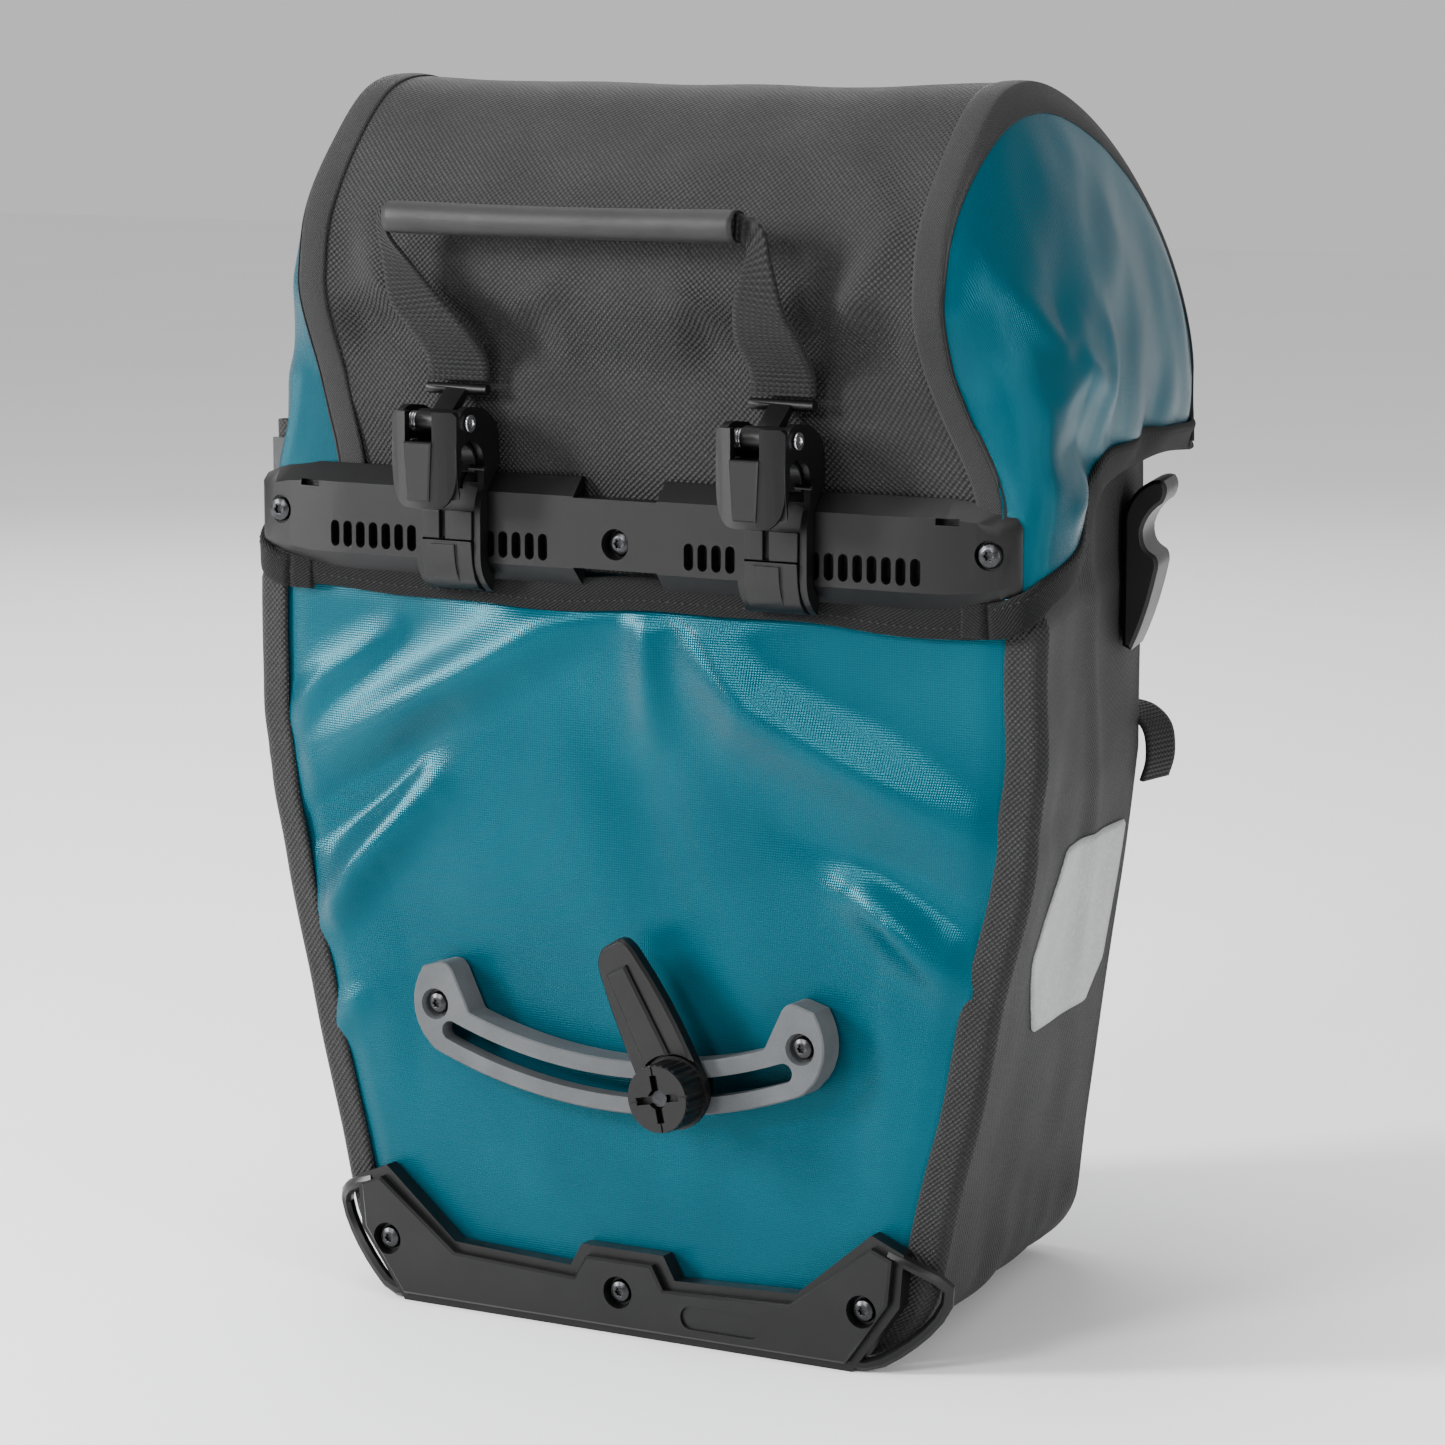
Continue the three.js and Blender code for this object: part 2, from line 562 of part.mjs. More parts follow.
function makeGuard() {
  const shell = plateXZ(guardOutline(0), GUARD_FACE + 3.2, BACK_FACE - GAP);
  const face = plateXZ(guardOutline(3.2), GUARD_FACE, GUARD_FACE + 4, 0.8);
  const loops = [-1, 1].map((s) => tube([
    [s * 101, -11.5, 41], [s * 110, -10.8, 38], [s * 118.5, -2.5, 29.5],
    [s * 115, -2.5, 20], [s * 105, -6, 9.5], [s * 94, -10, 2.9], [s * 86, -11, 2.9],
  ], 2.3, 12));
  const tools = [];
  for (const [x, z] of SCREWS.guard) {
    tools.push(rodY(GUARD_FACE - 1, GUARD_FACE + 3.6, x, z, 5.8, 20, 4.8));
    tools.push(rodY(GUARD_FACE, 0, x, z, SCREW_HOLE, 12));
  }
  const pill = roundSlot(0, 0, 8, 31);
  const badge = plateXZ(pill, -1, 1).rotateY(Math.PI / 2).translate(40, GUARD_FACE, 10.6);
  tools.push(badge);
  add('bottom_guard', cut(join([shell, face, ...loops]), tools), PLASTIC);
}

// ---- Hooks -------------------------------------------------------------------------
// Everything of one hook is drawn about x = 0 and moved to its place on the rail.
function hookWall(left) {
  const shape = new THREE.Shape();
  shape.moveTo(-33.5, 282);
  shape.quadraticCurveTo(-36.5, 297, -34, SHIELD_TOP - 3);
  shape.quadraticCurveTo(-32, 312, -27, 312.4);
  shape.lineTo(-19, 311.6);
  shape.quadraticCurveTo(-9, 308, -8.8, 299);
  shape.lineTo(-8.8, 292);
  shape.lineTo(-9.6, RAIL_Z + RAIL_BASE_HALF + 0.4);
  shape.lineTo(-10.6, RAIL_Z + RAIL_BASE_HALF + 0.4);
  shape.lineTo(RAIL_FACE - 0.4, RAIL_Z + RAIL_FACE_HALF + 0.3);
  shape.lineTo(RAIL_FACE - 0.4, RAIL_Z - RAIL_FACE_HALF - 0.3);
  shape.lineTo(-12.6, RAIL_Z - 17.5);
  shape.lineTo(-13.2, RAIL_Z - 22);
  shape.quadraticCurveTo(-20.6, RAIL_Z - 18, -21, RAIL_Z - 10);
  shape.lineTo(-21, RAIL_Z + 4);
  shape.quadraticCurveTo(-21, RAIL_Z + 9, -18.45, RAIL_Z + 13);
  shape.lineTo(MOUTH.y + MOUTH.r, MOUTH.z);
  shape.absarc(MOUTH.y, MOUTH.z, MOUTH.r, 0, Math.PI, false);
  shape.lineTo(MOUTH.y - MOUTH.r + 1.6, 284);
  return plateYZ(shape, left, left + HOOK_WALL);
}

function hookShield() {
  const R = 32;
  const plan = new THREE.Shape();
  const steps = 8;
  const arcY = (u, r, front) => front + r - Math.sqrt(r * r - u * u);
  for (let i = 0; i <= steps; i += 1) {
    const u = HOOK_HALF * (2 * i / steps - 1);
    plan[i ? 'lineTo' : 'moveTo'](u, arcY(u, R, SHIELD_FRONT));
  }
  for (let i = steps; i >= 0; i -= 1) {
    const u = HOOK_HALF * (2 * i / steps - 1);
    plan.lineTo(u, arcY(u, R, SHIELD_FRONT + 3));
  }
  const column = extrude(plan, SHIELD_TOP - SHIELD_BOTTOM + 2).translate(0, 0, SHIELD_BOTTOM - 1);
  const tongue = new THREE.Shape();
  tongue.moveTo(-HOOK_HALF, SHIELD_TOP - 1.5);
  tongue.lineTo(-HOOK_HALF, 292);
  tongue.quadraticCurveTo(-HOOK_HALF + 0.4, SHIELD_BOTTOM, -5, SHIELD_BOTTOM);
  tongue.lineTo(5, SHIELD_BOTTOM);
  tongue.quadraticCurveTo(HOOK_HALF - 0.4, SHIELD_BOTTOM, HOOK_HALF, 292);
  tongue.lineTo(HOOK_HALF, SHIELD_TOP - 1.5);
  tongue.lineTo(HOOK_HALF - 1.5, SHIELD_TOP);
  tongue.lineTo(-HOOK_HALF + 1.5, SHIELD_TOP);
  const skin = common(column, plateXZ(tongue, SHIELD_FRONT - 2, -28));
  const pad = shapeOf([[-6.4, 301], [4.4, 301], [3.4, SHIELD_BOTTOM + 2.5], [-5, SHIELD_BOTTOM + 2.5]]);
  const raised = plateXZ(pad, SHIELD_FRONT - 0.7, SHIELD_FRONT + 2, 0.5);
  return join([skin, raised]);
}

function hookBody() {
  const saddle = shapeOf([
    [-18.45, RAIL_Z - 12], [RAIL_FACE - 0.4, RAIL_Z - 12], [RAIL_FACE - 0.4, RAIL_Z + RAIL_FACE_HALF + 0.3],
    [-10.6, RAIL_Z + RAIL_BASE_HALF + 0.4], [-9.4, RAIL_Z + RAIL_BASE_HALF + 0.4],
    [-9.4, RAIL_Z + 21.5], [-11.5, RAIL_Z + 21.5], [-18.45, RAIL_Z + 15],
  ]);
  const inner = HOOK_HALF - HOOK_WALL;
  const whole = join([
    hookWall(-HOOK_HALF), hookWall(inner), hookShield(), plateYZ(saddle, -HOOK_HALF + 0.5, HOOK_HALF - 0.5),
  ]);
  const drumWindow = block(-6.4, 4.4, -45, -31, 301, 330);
  const pinHole = rodX(-20, 20, PIN.y, PIN.z, PIN.r + GAP);
  const mouthArch = rodX(-inner, inner, MOUTH.y, MOUTH.z, MOUTH.r, 24);
  const mouthWay = block(-inner, inner, MOUTH.y - MOUTH.r, MOUTH.y, SHIELD_BOTTOM - 2, MOUTH.z);
  const fingerSlot = block(-4.3, 4.3, -19, -8.8, RAIL_Z + RAIL_FACE_HALF + 0.6, MOUTH.z + 4);
  return cut(whole, [drumWindow, pinHole, mouthArch, mouthWay, fingerSlot]);
}

function hookPin() {
  const shank = rodX(-HOOK_HALF - 0.4, HOOK_HALF + 0.4, PIN.y, PIN.z, PIN.r);
  const head = (from) => rodX(from, from + 0.9, PIN.y, PIN.z, 2.9, 20);
  const dimple = (from) => rodX(from, from + 1, PIN.y, PIN.z, 1.4, 12);
  const pin = join([shank, head(-HOOK_HALF - 1.2), head(HOOK_HALF + 0.3)]);
  return cut(pin, [dimple(-HOOK_HALF - 1.8), dimple(HOOK_HALF + 0.8)]);
}

// Lever on the pin: a drum, a cross bar for the strap and a finger that closes the mouth.
function hookCatch() {
  const drum = rodX(-5.8, 9.7, PIN.y, PIN.z, 4.3, 20);
  const neck = shapeOf([[-25.5, 309.6], [-22.6, 306.4], [TBAR.y + 1.4, TBAR.z], [TBAR.y - 1.4, TBAR.z + 0.6]]);
  const bar = rodX(-TBAR.half, TBAR.half, TBAR.y, TBAR.z, TBAR.r, 12);
  const finger = new THREE.Shape();
  finger.moveTo(-25.8, 306.2);
  finger.quadraticCurveTo(-16.5, 305.5, -14.6, 298);
  finger.quadraticCurveTo(-14, 292, -15.6, 289.6);
  finger.lineTo(-20.4, 286.6);
  finger.lineTo(-19.6, 285);
  finger.quadraticCurveTo(-12.6, 287, -12.4, 292);
  finger.quadraticCurveTo(-11.6, 302, -17, 306.6);
  finger.quadraticCurveTo(-21, 310, -25.8, 309.6);
  const parts = [drum, plateYZ(neck, -4, 4), bar, plateYZ(finger, -3.6, 3.6)];
  return cut(join(parts), [rodX(-20, 20, PIN.y, PIN.z, PIN.r + GAP)]);
}

function hookSpring() {
  const wire = 0.45;
  const radius = 3.1;
  const turns = 3;
  const perTurn = 10;
  const path = [];
  for (let i = 0; i <= turns * perTurn; i += 1) {
    const a = (i * Math.PI * 2) / perTurn;
    path.push([-9.3 + (i / perTurn) * 1.0, PIN.y + radius * Math.cos(a), PIN.z + radius * Math.sin(a)]);
  }
  return tube(path, wire, turns * perTurn, 6);
}

function hookInsert() {
  const outerR = MOUTH.r - 0.35;
  const innerR = outerR - 1.2;
  const shape = new THREE.Shape();
  shape.absarc(MOUTH.y, MOUTH.z, outerR, 0, Math.PI, false);
  shape.lineTo(MOUTH.y - outerR + 0.4, MOUTH.z - 6);
  shape.lineTo(MOUTH.y - innerR + 0.2, MOUTH.z - 6);
  shape.absarc(MOUTH.y, MOUTH.z, innerR, Math.PI, 0, true);
  shape.lineTo(MOUTH.y + innerR, MOUTH.z - 3);
  shape.lineTo(MOUTH.y + outerR, MOUTH.z - 3);
  const inner = HOOK_HALF - HOOK_WALL - GAP;
  const liner = plateYZ(shape, -inner, inner);
  const peg = rodX(inner - 2, HOOK_HALF + 1.4, MOUTH.y + outerR - 1, MOUTH.z - 1.5, 0.9, 10);
  return join([liner, peg]);
}

function hookLock() {
  const inner = HOOK_HALF - HOOK_WALL - 0.4;
  const z0 = RAIL_Z - 4;
  const z1 = RAIL_Z + 5.4;
  return join([
    block(-inner, inner, -20.2, -18.75, z0 + 0.6, z1 - 0.6),
    block(-inner, -3, -22, -19.8, z0, z1),
    block(-0.6, inner, -22, -19.8, z0, z1),
  ]);
}

function hookJaw() {
  const inner = HOOK_HALF - HOOK_WALL - 0.4;
  const top = RAIL_Z - 4.6;
  const shape = new THREE.Shape();
  shape.moveTo(-18.75, top);
  shape.lineTo(-18.75, RAIL_Z - 12.8);
  shape.lineTo(-16.9, RAIL_Z - 13.2);
  shape.lineTo(-11, RAIL_Z - 18.6);
  shape.lineTo(-9, RAIL_Z - 18.6);
  shape.lineTo(-9, RAIL_Z - 21);
  shape.quadraticCurveTo(-21.6, RAIL_Z - 26, -22.4, top);
  const body = plateYZ(shape, -inner, inner);
  const rib = new THREE.Shape();
  rib.moveTo(-21.5, top - 1.2);
  rib.lineTo(-19.8, RAIL_Z - 14);
  rib.lineTo(-15, RAIL_Z - 19.6);
  rib.quadraticCurveTo(-22.4, RAIL_Z - 21, -23.2, top - 1.2);
  return join([body, plateYZ(rib, -6, 3.6)]);
}

function makeHooks() {
  const pieces = [
    ['hook_body', hookBody, PLASTIC], ['hook_pin', hookPin, STEEL], ['hook_catch', hookCatch, PLASTIC],
    ['catch_spring', hookSpring, STEEL], ['reducer_insert', hookInsert, PLASTIC],
    ['clamp_lock', hookLock, PLASTIC], ['clamp_jaw', hookJaw, PLASTIC],
  ];
  for (const [side, x] of [['left', -HOOK_X], ['right', HOOK_X]]) {
    for (const [name, make, look] of pieces) add(`${name}_${side}`, make().translate(x, 0, 0), look);
  }
}

// ---- Handle ------------------------------------------------------------------------
function makeHandle() {
  const half = GRIP.length / 2;
  const sleeve = rodX(GRIP.x - half, GRIP.x + half, GRIP.y, GRIP.z, GRIP.r, 20);
  add('handle_grip', sleeve, RUBBER);
  const front = TBAR.y + 1.3;
  const back = TBAR.y + 3.8;
  const joinZ = 332;
  const topZ = GRIP.z - GRIP.r - GAP;
  const halfWeb = WEBBING / 2;
  const ends = { left: GRIP.x - half + 6, right: GRIP.x + half - 2 };
  for (const [side, x] of [['left', -HOOK_X], ['right', HOOK_X]]) {
    const end = block(x - halfWeb, x + halfWeb, front, back, TBAR.z + 2.3, joinZ);
    add(`strap_end_${side}`, end, TAPE);
    const top = ends[side];
    const strap = sheet([
      new THREE.Vector3(x - halfWeb, front + 0.5, joinZ + GAP), new THREE.Vector3(x + halfWeb, front + 0.5, joinZ + GAP),
      new THREE.Vector3(top + halfWeb - 4, GRIP.y, topZ), new THREE.Vector3(top - halfWeb + 4, GRIP.y, topZ),
    ], new THREE.Vector3(0, 1.5, 0));
    add(`handle_strap_${side}`, strap, TAPE);
  }
}

// ---- Side fittings -------------------------------------------------------------------
// The gusset leans from the rear fold to the front edge. A fitting drawn with its back on
// x = 0 is turned to that lean and carried out to the right gusset.
const TOE = (BACK_HALF_TOP - FRONT_HALF_TOP) / (GUSSET.far - GUSSET.near);
const TAPER = (FRONT_HALF_TOP - frontHalf(GUSSET.frontLow)) / (SHOULDER_Z - GUSSET.frontLow);

function ontoGusset(geometry) {
  const lean = Math.atan(TOE);
  return geometry.rotateZ(lean).translate(BACK_HALF_TOP + TOE * GUSSET.near, 0, 0);
}

function sideHook() {
  const shape = new THREE.Shape();
  shape.moveTo(0, 226);
  shape.lineTo(3, 224.5);
  shape.quadraticCurveTo(8.5, 236, 12, 253);
  shape.quadraticCurveTo(12.4, 257, 10, 258);
  shape.quadraticCurveTo(6.2, 260, 6.6, 266);
  shape.quadraticCurveTo(8, 272, 13.4, 275.5);
  shape.quadraticCurveTo(16, 280, 13.6, 283);
  shape.quadraticCurveTo(10, 284.4, 5, 280);
  shape.quadraticCurveTo(1, 276, 0, 270);
  return plateXZ(shape, 130, 156, 1.2).translate(GAP, 0, 0);
}

function makeSideFittings() {
  const hook = ontoGusset(sideHook());
  add('side_hook_right', hook, PLASTIC);
  add('side_hook_left', mirrored(hook), PLASTIC);

  const outline = [[40, 132], [58, 103], [128, 100], [146, 112], [152, 160], [64, 166]];
  const skinX = (y, z) => BACK_HALF_TOP - TOE * (y - GUSSET.near) - TAPER * (SHOULDER_Z - z);
  const face = outline.map(([y, z]) => new THREE.Vector3(skinX(y, z) + GAP + 0.6, y, z));
  const right = sheet(face, new THREE.Vector3(-0.6, 0, 0));
  add('reflector_right', right, SILVER);
  add('reflector_left', mirrored(right), SILVER);
}

// ---- Front closure --------------------------------------------------------------------
// A tongue on the lid strap drops into an open-faced socket on the lower strap.
function makeClosures() {
  const half = WEBBING / 2;
  for (const [side, x] of [['left', -STRAP_X], ['right', STRAP_X]]) {
    const lower = block(x - half, x + half, DEPTH + GAP, DEPTH + 1.8, 120, 226);
    add(`front_strap_${side}`, lower, TAPE);

    const base = block(x - 16, x + 16, DEPTH + 2.1, DEPTH + 4.1, 196, 236);
    const cheek = (from) => block(from, from + 2.4, DEPTH + 3, DEPTH + 9.5, 196, 236);
    const foot = block(x - 16, x + 16, DEPTH + 3, DEPTH + 9.5, 196, 204);
    add(`buckle_socket_${side}`, join([base, cheek(x - 16), cheek(x + 13.6), foot]), PLASTIC);

    const tongue = block(x - 10, x + 10, DEPTH + 4.6, DEPTH + 8.6, 205, 240);
    const yoke = block(x - 15, x + 15, DEPTH + 4.6, DEPTH + 9.2, 237, 256);
    const eye = block(x - 12.4, x + 12.4, DEPTH + 4, DEPTH + 10, 246, 250);
    add(`buckle_plug_${side}`, cut(join([tongue, yoke]), [eye]), PLASTIC);

    const strap = shapeOf([
      [LID_FRONT + GAP, 262], [LID_FRONT + GAP, 258], [LID_FRONT + 0.2, 257], [LID_FRONT + 1.9, 257],
      [LID_FRONT + 1.9, 318.5], [LID_FRONT + GAP, 318.5],
    ]);
    add(`lid_strap_${side}`, plateYZ(strap, x - half, x + half), TAPE);
  }
}

makeBody();
makeBacking();
makeBackFlap();
makeLid();
makeRail();
makeTrack();
makeGuard();
makeScrews();
makeLowerHook();
makeHooks();
makeHandle();
makeSideFittings();
makeClosures();

export default bag;
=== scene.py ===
import math

import bpy
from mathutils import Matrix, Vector, noise


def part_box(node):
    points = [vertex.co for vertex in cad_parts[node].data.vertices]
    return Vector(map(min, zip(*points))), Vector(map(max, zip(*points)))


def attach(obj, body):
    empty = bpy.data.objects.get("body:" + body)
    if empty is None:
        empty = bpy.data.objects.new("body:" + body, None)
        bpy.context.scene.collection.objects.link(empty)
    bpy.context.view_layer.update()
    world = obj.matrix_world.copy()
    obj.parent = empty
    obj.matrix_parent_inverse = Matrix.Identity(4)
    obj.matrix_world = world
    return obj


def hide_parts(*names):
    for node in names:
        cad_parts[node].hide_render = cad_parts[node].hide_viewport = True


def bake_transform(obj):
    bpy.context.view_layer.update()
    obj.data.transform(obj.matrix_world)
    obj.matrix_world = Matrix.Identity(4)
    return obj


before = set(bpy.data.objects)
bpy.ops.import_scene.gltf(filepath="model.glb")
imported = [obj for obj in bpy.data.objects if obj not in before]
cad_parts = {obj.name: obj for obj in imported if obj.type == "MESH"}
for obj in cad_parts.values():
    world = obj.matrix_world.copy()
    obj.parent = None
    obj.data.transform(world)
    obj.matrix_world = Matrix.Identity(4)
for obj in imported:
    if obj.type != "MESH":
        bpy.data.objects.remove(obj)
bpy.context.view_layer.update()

# ---- Driving places, all from the frame, in metres ----
MM = 0.001
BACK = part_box("back_panel")
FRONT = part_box("front_panel")
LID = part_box("lid_cover")
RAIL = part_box("rail")
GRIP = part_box("handle_grip")
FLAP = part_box("lid_back_flap")
HALF_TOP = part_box("side_gusset_right")[1].x
HALF_LOW = HALF_TOP - 43.5 * MM     # half width of the back at the floor
FRONT_TOP = FRONT[1].x
FRONT_LOW = FRONT_TOP - 25 * MM
Y_BACK = BACK[0].y
Y_FOLD = Y_BACK + 6.5 * MM      # where the gussets' rear folds lie
Y_FRONT = FRONT[1].y
Z_SHOULDER = 186 * MM           # the body tapers below this height
Z_TOP = 302 * MM                # the body's own top edge, inside the lid
Z_FLOOR = 0.6 * MM              # the cloth's lower edge clears the floor
STRIP = 13 * MM                 # width of the gusset's edge that shows on the back
CLOTH = 1.2 * MM                # thickness of the coated and the woven cloth
TAPE_WIDE = 11.5 * MM
WEB_HALF = 12 * MM              # half width of the webbing
LID_EDGE = LID[0].z
LID_SPRING = LID_EDGE + 21.5 * MM   # height at which the lid's arch starts
LID_CREST = LID[0].y + 54 * MM  # where the lid is highest
LID_MIDDLE = (LID[0].y + LID[1].y) / 2
LID_RISE = LID[1].z - LID_SPRING
SEAM_X = LID[1].x - 4 * MM      # seam between the woven lid strip and the coated cheeks
SIDES = ((1, "right"), (-1, "left"))


# ---- Small maths ----
def clamp(t):
    return max(0.0, min(1.0, t))


def smooth(t):
    t = clamp(t)
    return t * t * (3 - 2 * t)


def rise(value, start, length):
    """0 below start, then an eased climb to 1 over this length."""
    return smooth((value - start) / length)


def mix(a, b, t):
    return a + (b - a) * t


def bump(t, width):
    return math.exp(-(t / width) ** 2)


def rough(x, y, z, scale):
    return noise.noise(Vector((x, y, z)) * scale)


def ease_corner(z, radius):
    """How far a rounded lower edge has pulled in at height z."""
    if z >= radius:
        return 0.0
    t = 1 - max(z, 0) / radius
    return radius * (1 - math.sqrt(max(0.0, 1 - t * t)))


def ridge(x, z, line, width, height):
    """A soft fold along a chain of points, fading out at both its ends."""
    nearest = math.inf
    along = 0.0
    count = len(line) - 1
    for i in range(count):
        (start_x, start_z), (end_x, end_z) = line[i], line[i + 1]
        run, climb = end_x - start_x, end_z - start_z
        t = clamp(((x - start_x) * run + (z - start_z) * climb) / (run * run + climb * climb))
        away = math.hypot(x - start_x - t * run, z - start_z - t * climb)
        if away < nearest:
            nearest = away
            along = (i + t) / count
    fade = math.sin(math.pi * mix(0.1, 0.9, along))
    return height * fade * bump(nearest, width)


# ---- Mesh building ----
def mesh_object(name, points, faces, uvs=None, material=None, slot=None, thick=0.0, offset=-1.0):
    data = bpy.data.meshes.new(name)
    data.from_pydata([tuple(p) for p in points], [], faces)
    data.polygons.foreach_set("use_smooth", [True] * len(data.polygons))
    if uvs:
        layer = data.uv_layers.new(name="UVMap")
        for loop in data.loops:
            layer.data[loop.index].uv = uvs[loop.vertex_index]
    data.update()
    made = bpy.data.objects.new(name, data)
    bpy.context.scene.collection.objects.link(made)
    if material:
        data.materials.append(material)
    if thick:
        shell = made.modifiers.new("thickness", "SOLIDIFY")
        shell.thickness = thick
        shell.offset = offset
    return made


def grid(name, rows, **look):
    """A sheet through rows of points, with its texture coordinates in metres along both ways."""
    wide = len(rows[0])
    points = [p for row in rows for p in row]
    uvs = []
    middle = len(rows) // 2
    run = [0.0]
    for i in range(1, wide):
        run.append(run[-1] + (Vector(rows[middle][i]) - Vector(rows[middle][i - 1])).length)
    fall = [0.0]
    for r in range(1, len(rows)):
        fall.append(fall[-1] + (Vector(rows[r][wide // 2]) - Vector(rows[r - 1][wide // 2])).length)
    for r in range(len(rows)):
        uvs += [(run[i], fall[r]) for i in range(wide)]
    faces = []
    for r in range(len(rows) - 1):
        for i in range(wide - 1):
            a = r * wide + i
            faces.append((a, a + 1, a + 1 + wide, a + wide))
    return mesh_object(name, points, faces, uvs, **look)


def closed_loft(name, rings, **look):
    """Rings of equal length joined into a closed body; u runs round the ring, v along it."""
    size = len(rings[0])
    points = [p for ring in rings for p in ring]
    uvs = []
    fall = 0.0
    for r, ring in enumerate(rings):
        if r:
            fall += (Vector(ring[0]) - Vector(rings[r - 1][0])).length
        run = 0.0
        for i, p in enumerate(ring):
            if i:
                run += (Vector(p) - Vector(ring[i - 1])).length
            uvs.append((run, fall))
    faces = []
    for r in range(len(rings) - 1):
        for i in range(size):
            j = (i + 1) % size
            a, b = r * size + i, r * size + j
            faces.append((a, b, b + size, a + size))
    last = (len(rings) - 1) * size
    faces.append(tuple(reversed(range(size))))
    faces.append(tuple(last + i for i in range(size)))
    return mesh_object(name, points, faces, uvs, **look)


def disc(name, outline, centre, rings, place, **look):
    """Concentric copies of an outline shrinking to its centre; place maps a flat point to space."""
    faces = []
    size = len(outline)
    flat = []
    for r in range(rings):
        scale = 1 - r / rings
        for a, b in outline:
            flat.append((centre[0] + (a - centre[0]) * scale, centre[1] + (b - centre[1]) * scale))
    flat.append(centre)
    points = [place(a, b) for a, b in flat]
    for r in range(rings - 1):
        for i in range(size):
            j = (i + 1) % size
            a, b = r * size + i, r * size + j
            faces.append((a, b, b + size, a + size))
    last = (rings - 1) * size
    for i in range(size):
        faces.append((last + i, last + (i + 1) % size, len(flat) - 1))
    return mesh_object(name, points, faces, list(flat), **look)


def between(points, i, t):
    """Place on a smooth curve through vectors, t of the way from point i to the next."""
    before, here = points[max(i - 1, 0)], points[i]
    there, after = points[i + 1], points[min(i + 2, len(points) - 1)]
    return 0.5 * ((2 * here) + (there - before) * t
                  + (2 * before - 5 * here + 4 * there - after) * t * t
                  + (3 * here - before - 3 * there + after) * t ** 3)


def curve(points, steps):
    """Smooth chain through vectors, with this many steps between two of them."""
    chain = [between(points, i, s / steps) for i in range(len(points) - 1) for s in range(steps)]
    return chain + [points[-1].copy()]


def ribbon(name, centres, sides, thick, steps=8, **look):
    """A strap: centre line and half-width vectors, with a flat body and rounded selvedges."""
    line = curve(centres, steps)
    across = curve(sides, steps)
    count, flat_share = 10, 0.97
    shares = [mix(-flat_share, flat_share, k / count) for k in range(count + 1)]
    rings = []
    for i, (place, half) in enumerate(zip(line, across)):
        ahead = line[min(i + 1, len(line) - 1)] - line[max(i - 1, 0)]
        up = ahead.cross(half).normalized() * (thick / 2)
        upper = [place + half * share + up for share in shares]
        lower = [place - half * share - up for share in shares]
        rings.append(upper + [place + half] + lower + [place - half])
    return closed_loft(name, rings, **look)


def tape_along(name, line, downs, outs, wide, thick, **look):
    """Folded binding: a flattened tube over an edge. downs run across the tape, outs off its face."""
    count = 20
    section = []
    for k in range(count):
        across, off = math.cos(2 * math.pi * k / count), math.sin(2 * math.pi * k / count)
        section.append((wide / 2 * math.copysign(abs(across) ** 0.35, across),
                        thick / 2 * math.copysign(abs(off) ** 0.55, off)))
    rings = [[place + down * across + out * off for across, off in section]
             for place, down, out in zip(line, downs, outs)]
    return closed_loft(name, rings, **look)


def stitches(name, line, outs, pitch, **look):
    """A row of short raised stitches along a line."""
    points = []
    faces = []
    run = 0.0
    long_half, wide_half, high = 0.85 * MM, 0.28 * MM, 0.28 * MM
    for i in range(1, len(line)):
        step = line[i] - line[i - 1]
        length = step.length
        if length < 1e-7:
            continue
        along = step / length
        at = pitch - run
        while at <= length:
            place, out = line[i - 1] + along * at, outs[i]
            side = along.cross(out).normalized()
            base = len(points)
            points += [place - along * long_half, place + side * wide_half,
                       place + along * long_half, place - side * wide_half,
                       place + out * high, place - out * high]
            for a, b in ((0, 1), (1, 2), (2, 3), (3, 0)):
                faces.append((base + a, base + b, base + 4))
                faces.append((base + b, base + a, base + 5))
            at += pitch
        run = (run + length) % pitch
    return mesh_object(name, points, faces, None, **look)


